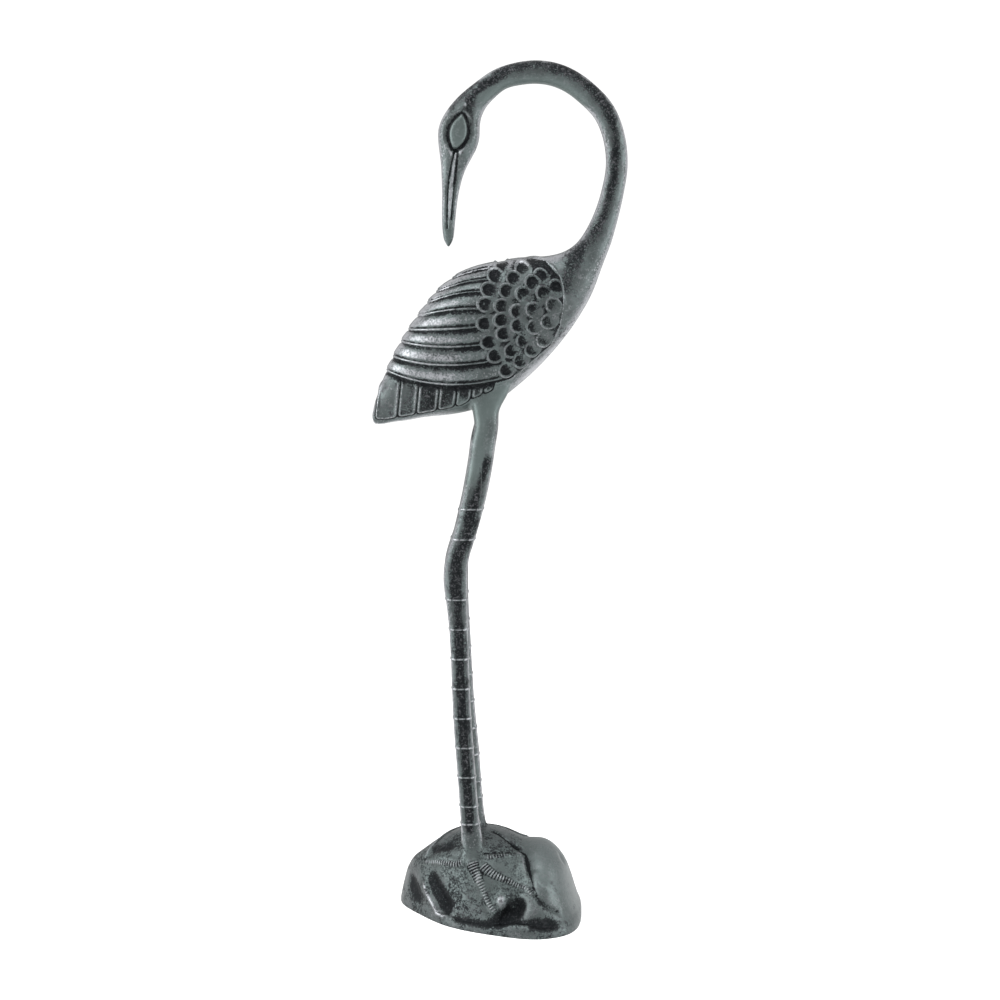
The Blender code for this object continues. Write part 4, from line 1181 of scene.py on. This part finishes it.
def floor_material(colours):
    """Matt pale floor with a faint change of tone from place to place."""
    shader = Shader("studio_floor")
    place = shader.node("ShaderNodeTexCoord", output=3)
    cloud = shader.noise(place, 2.0)
    red, green, blue, _ = colours.floor
    darker = (red * FLOOR_SHADE, green * FLOOR_SHADE, blue * FLOOR_SHADE, 1.0)
    shader.feed(shader.surface.inputs["Base Color"], shader.mix(cloud, tuple(colours.floor), darker))
    shader.surface.inputs["Roughness"].default_value = 0.9
    return shader.material


def number(name, description, default, kind=bpy.props.FloatProperty, **limits):
    return kind(name=name, description=description, default=default, **limits)


def colour(name, description, default):
    return number(name, description, default, bpy.props.FloatVectorProperty, size=4,
                  min=0.0, max=1.0, subtype="COLOR")


class CraneSizes(bpy.types.PropertyGroup):
    height: number("Height", "Height of the finished statue", STATUE_HEIGHT, min=0.1, unit="LENGTH")
    carving_depth: number("Carving depth", "Share of the carving's full height that is cut", 1.0,
                          min=0.0, max=1.5, subtype="FACTOR")
    skin_cell: number("Skin cell", "Edge of the cells that the joined skin is made of", SKIN_CELL,
                      min=0.0005, unit="LENGTH")
    triangles: number("Triangles", "Number of triangles the finished skin is thinned to", TRIANGLES,
                      bpy.props.IntProperty, min=5000)


class CraneColours(bpy.types.PropertyGroup):
    patina: colour("Patina", "Grey-green of the patina", PATINA_TONE)
    patina_deep: colour("Deep patina", "Darker tone that the patina drifts to", PATINA_DEEP)
    clean: colour("Clean patina", "Light green of the smooth places", CLEAN_TONE)
    # Near-black wash, also the colour of the painted shadow under the last long feather
    wash_and_shade: colour("Wash", "Near-black wash in the hollows", WASH_AND_SHADE_TONE)
    # Silvery rub, also the colour of the painted highlights on rounded edges and feather crowns
    rub_and_highlight: colour("Rub", "Silvery metal where the edges are worn", RUB_AND_HIGHLIGHT_TONE)
    floor: colour("Floor", "Pale studio floor", FLOOR_TONE)


class CraneStage(bpy.types.PropertyGroup):
    floor_size: number("Floor size", "Side of the square floor", FLOOR_SIZE, unit="LENGTH")
    lens: number("Lens", "Focal length of the camera", 85.0, unit="CAMERA")


class CRANE_OT_statue(bpy.types.Operator):
    """Builds the crane, its legs and the rock as one casting"""
    bl_idname = "crane.statue"
    bl_label = "Crane statue"

    def execute(self, context):
        sizes = context.scene.crane_sizes
        mesh = statue_mesh(sizes)
        mesh.materials.append(patina_material(context.scene.crane_colours))
        statue = new_object("crane_casting", mesh)
        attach(statue, "root")
        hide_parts(NODE)
        return {"FINISHED"}


class CRANE_OT_stage(bpy.types.Operator):
    """Lays the floor, hangs the soft lights and sets the camera"""
    bl_idname = "crane.stage"
    bl_label = "Studio stage"

    def execute(self, context):
        scene = context.scene
        scene.view_settings.view_transform = "Standard"
        half = scene.crane_stage.floor_size / 2
        mesh = bpy.data.meshes.new("floor")
        corners = [(-half, -half, 0), (half, -half, 0), (half, half, 0), (-half, half, 0)]
        mesh.from_pydata(corners, [], [(0, 1, 2, 3)])
        mesh.materials.append(floor_material(scene.crane_colours))
        floor = new_object("floor", mesh)
        for light in LIGHTS:
            soft_light(*light)
        pale_world(scene)
        camera = bpy.data.cameras.new("camera")
        camera.lens = scene.crane_stage.lens
        camera.sensor_width = 36.0
        viewer = new_object("camera", camera)
        viewer.location = CAMERA_PLACE
        viewer.rotation_euler = (np.radians(90 - CAMERA_TILT), 0, 0)
        scene.camera = viewer
        return {"FINISHED"}


class CRANE_PT_sidebar(bpy.types.Panel):
    bl_idname = "CRANE_PT_sidebar"
    bl_label = "Garden crane"
    bl_space_type = "VIEW_3D"
    bl_region_type = "UI"
    bl_category = "Crane"

    def draw(self, context):
        for operator in OPERATORS:
            self.layout.operator(operator.bl_idname)
        for group in (context.scene.crane_sizes, context.scene.crane_colours, context.scene.crane_stage):
            box = self.layout.box()
            for name in group.bl_rna.properties.keys():
                if name not in ("rna_type", "name"):
                    box.prop(group, name)


OPERATORS = (CRANE_OT_statue, CRANE_OT_stage)
CLASSES = (CraneSizes, CraneColours, CraneStage) + OPERATORS + (CRANE_PT_sidebar,)


def register():
    for item in CLASSES:
        bpy.utils.register_class(item)
    bpy.types.Scene.crane_sizes = bpy.props.PointerProperty(type=CraneSizes)
    bpy.types.Scene.crane_colours = bpy.props.PointerProperty(type=CraneColours)
    bpy.types.Scene.crane_stage = bpy.props.PointerProperty(type=CraneStage)


def unregister():
    del bpy.types.Scene.crane_sizes
    del bpy.types.Scene.crane_colours
    del bpy.types.Scene.crane_stage
    for item in reversed(CLASSES):
        bpy.utils.unregister_class(item)


def main():
    register()
    bpy.ops.crane.statue()
    bpy.ops.crane.stage()


if __name__ == "__main__":
    main()
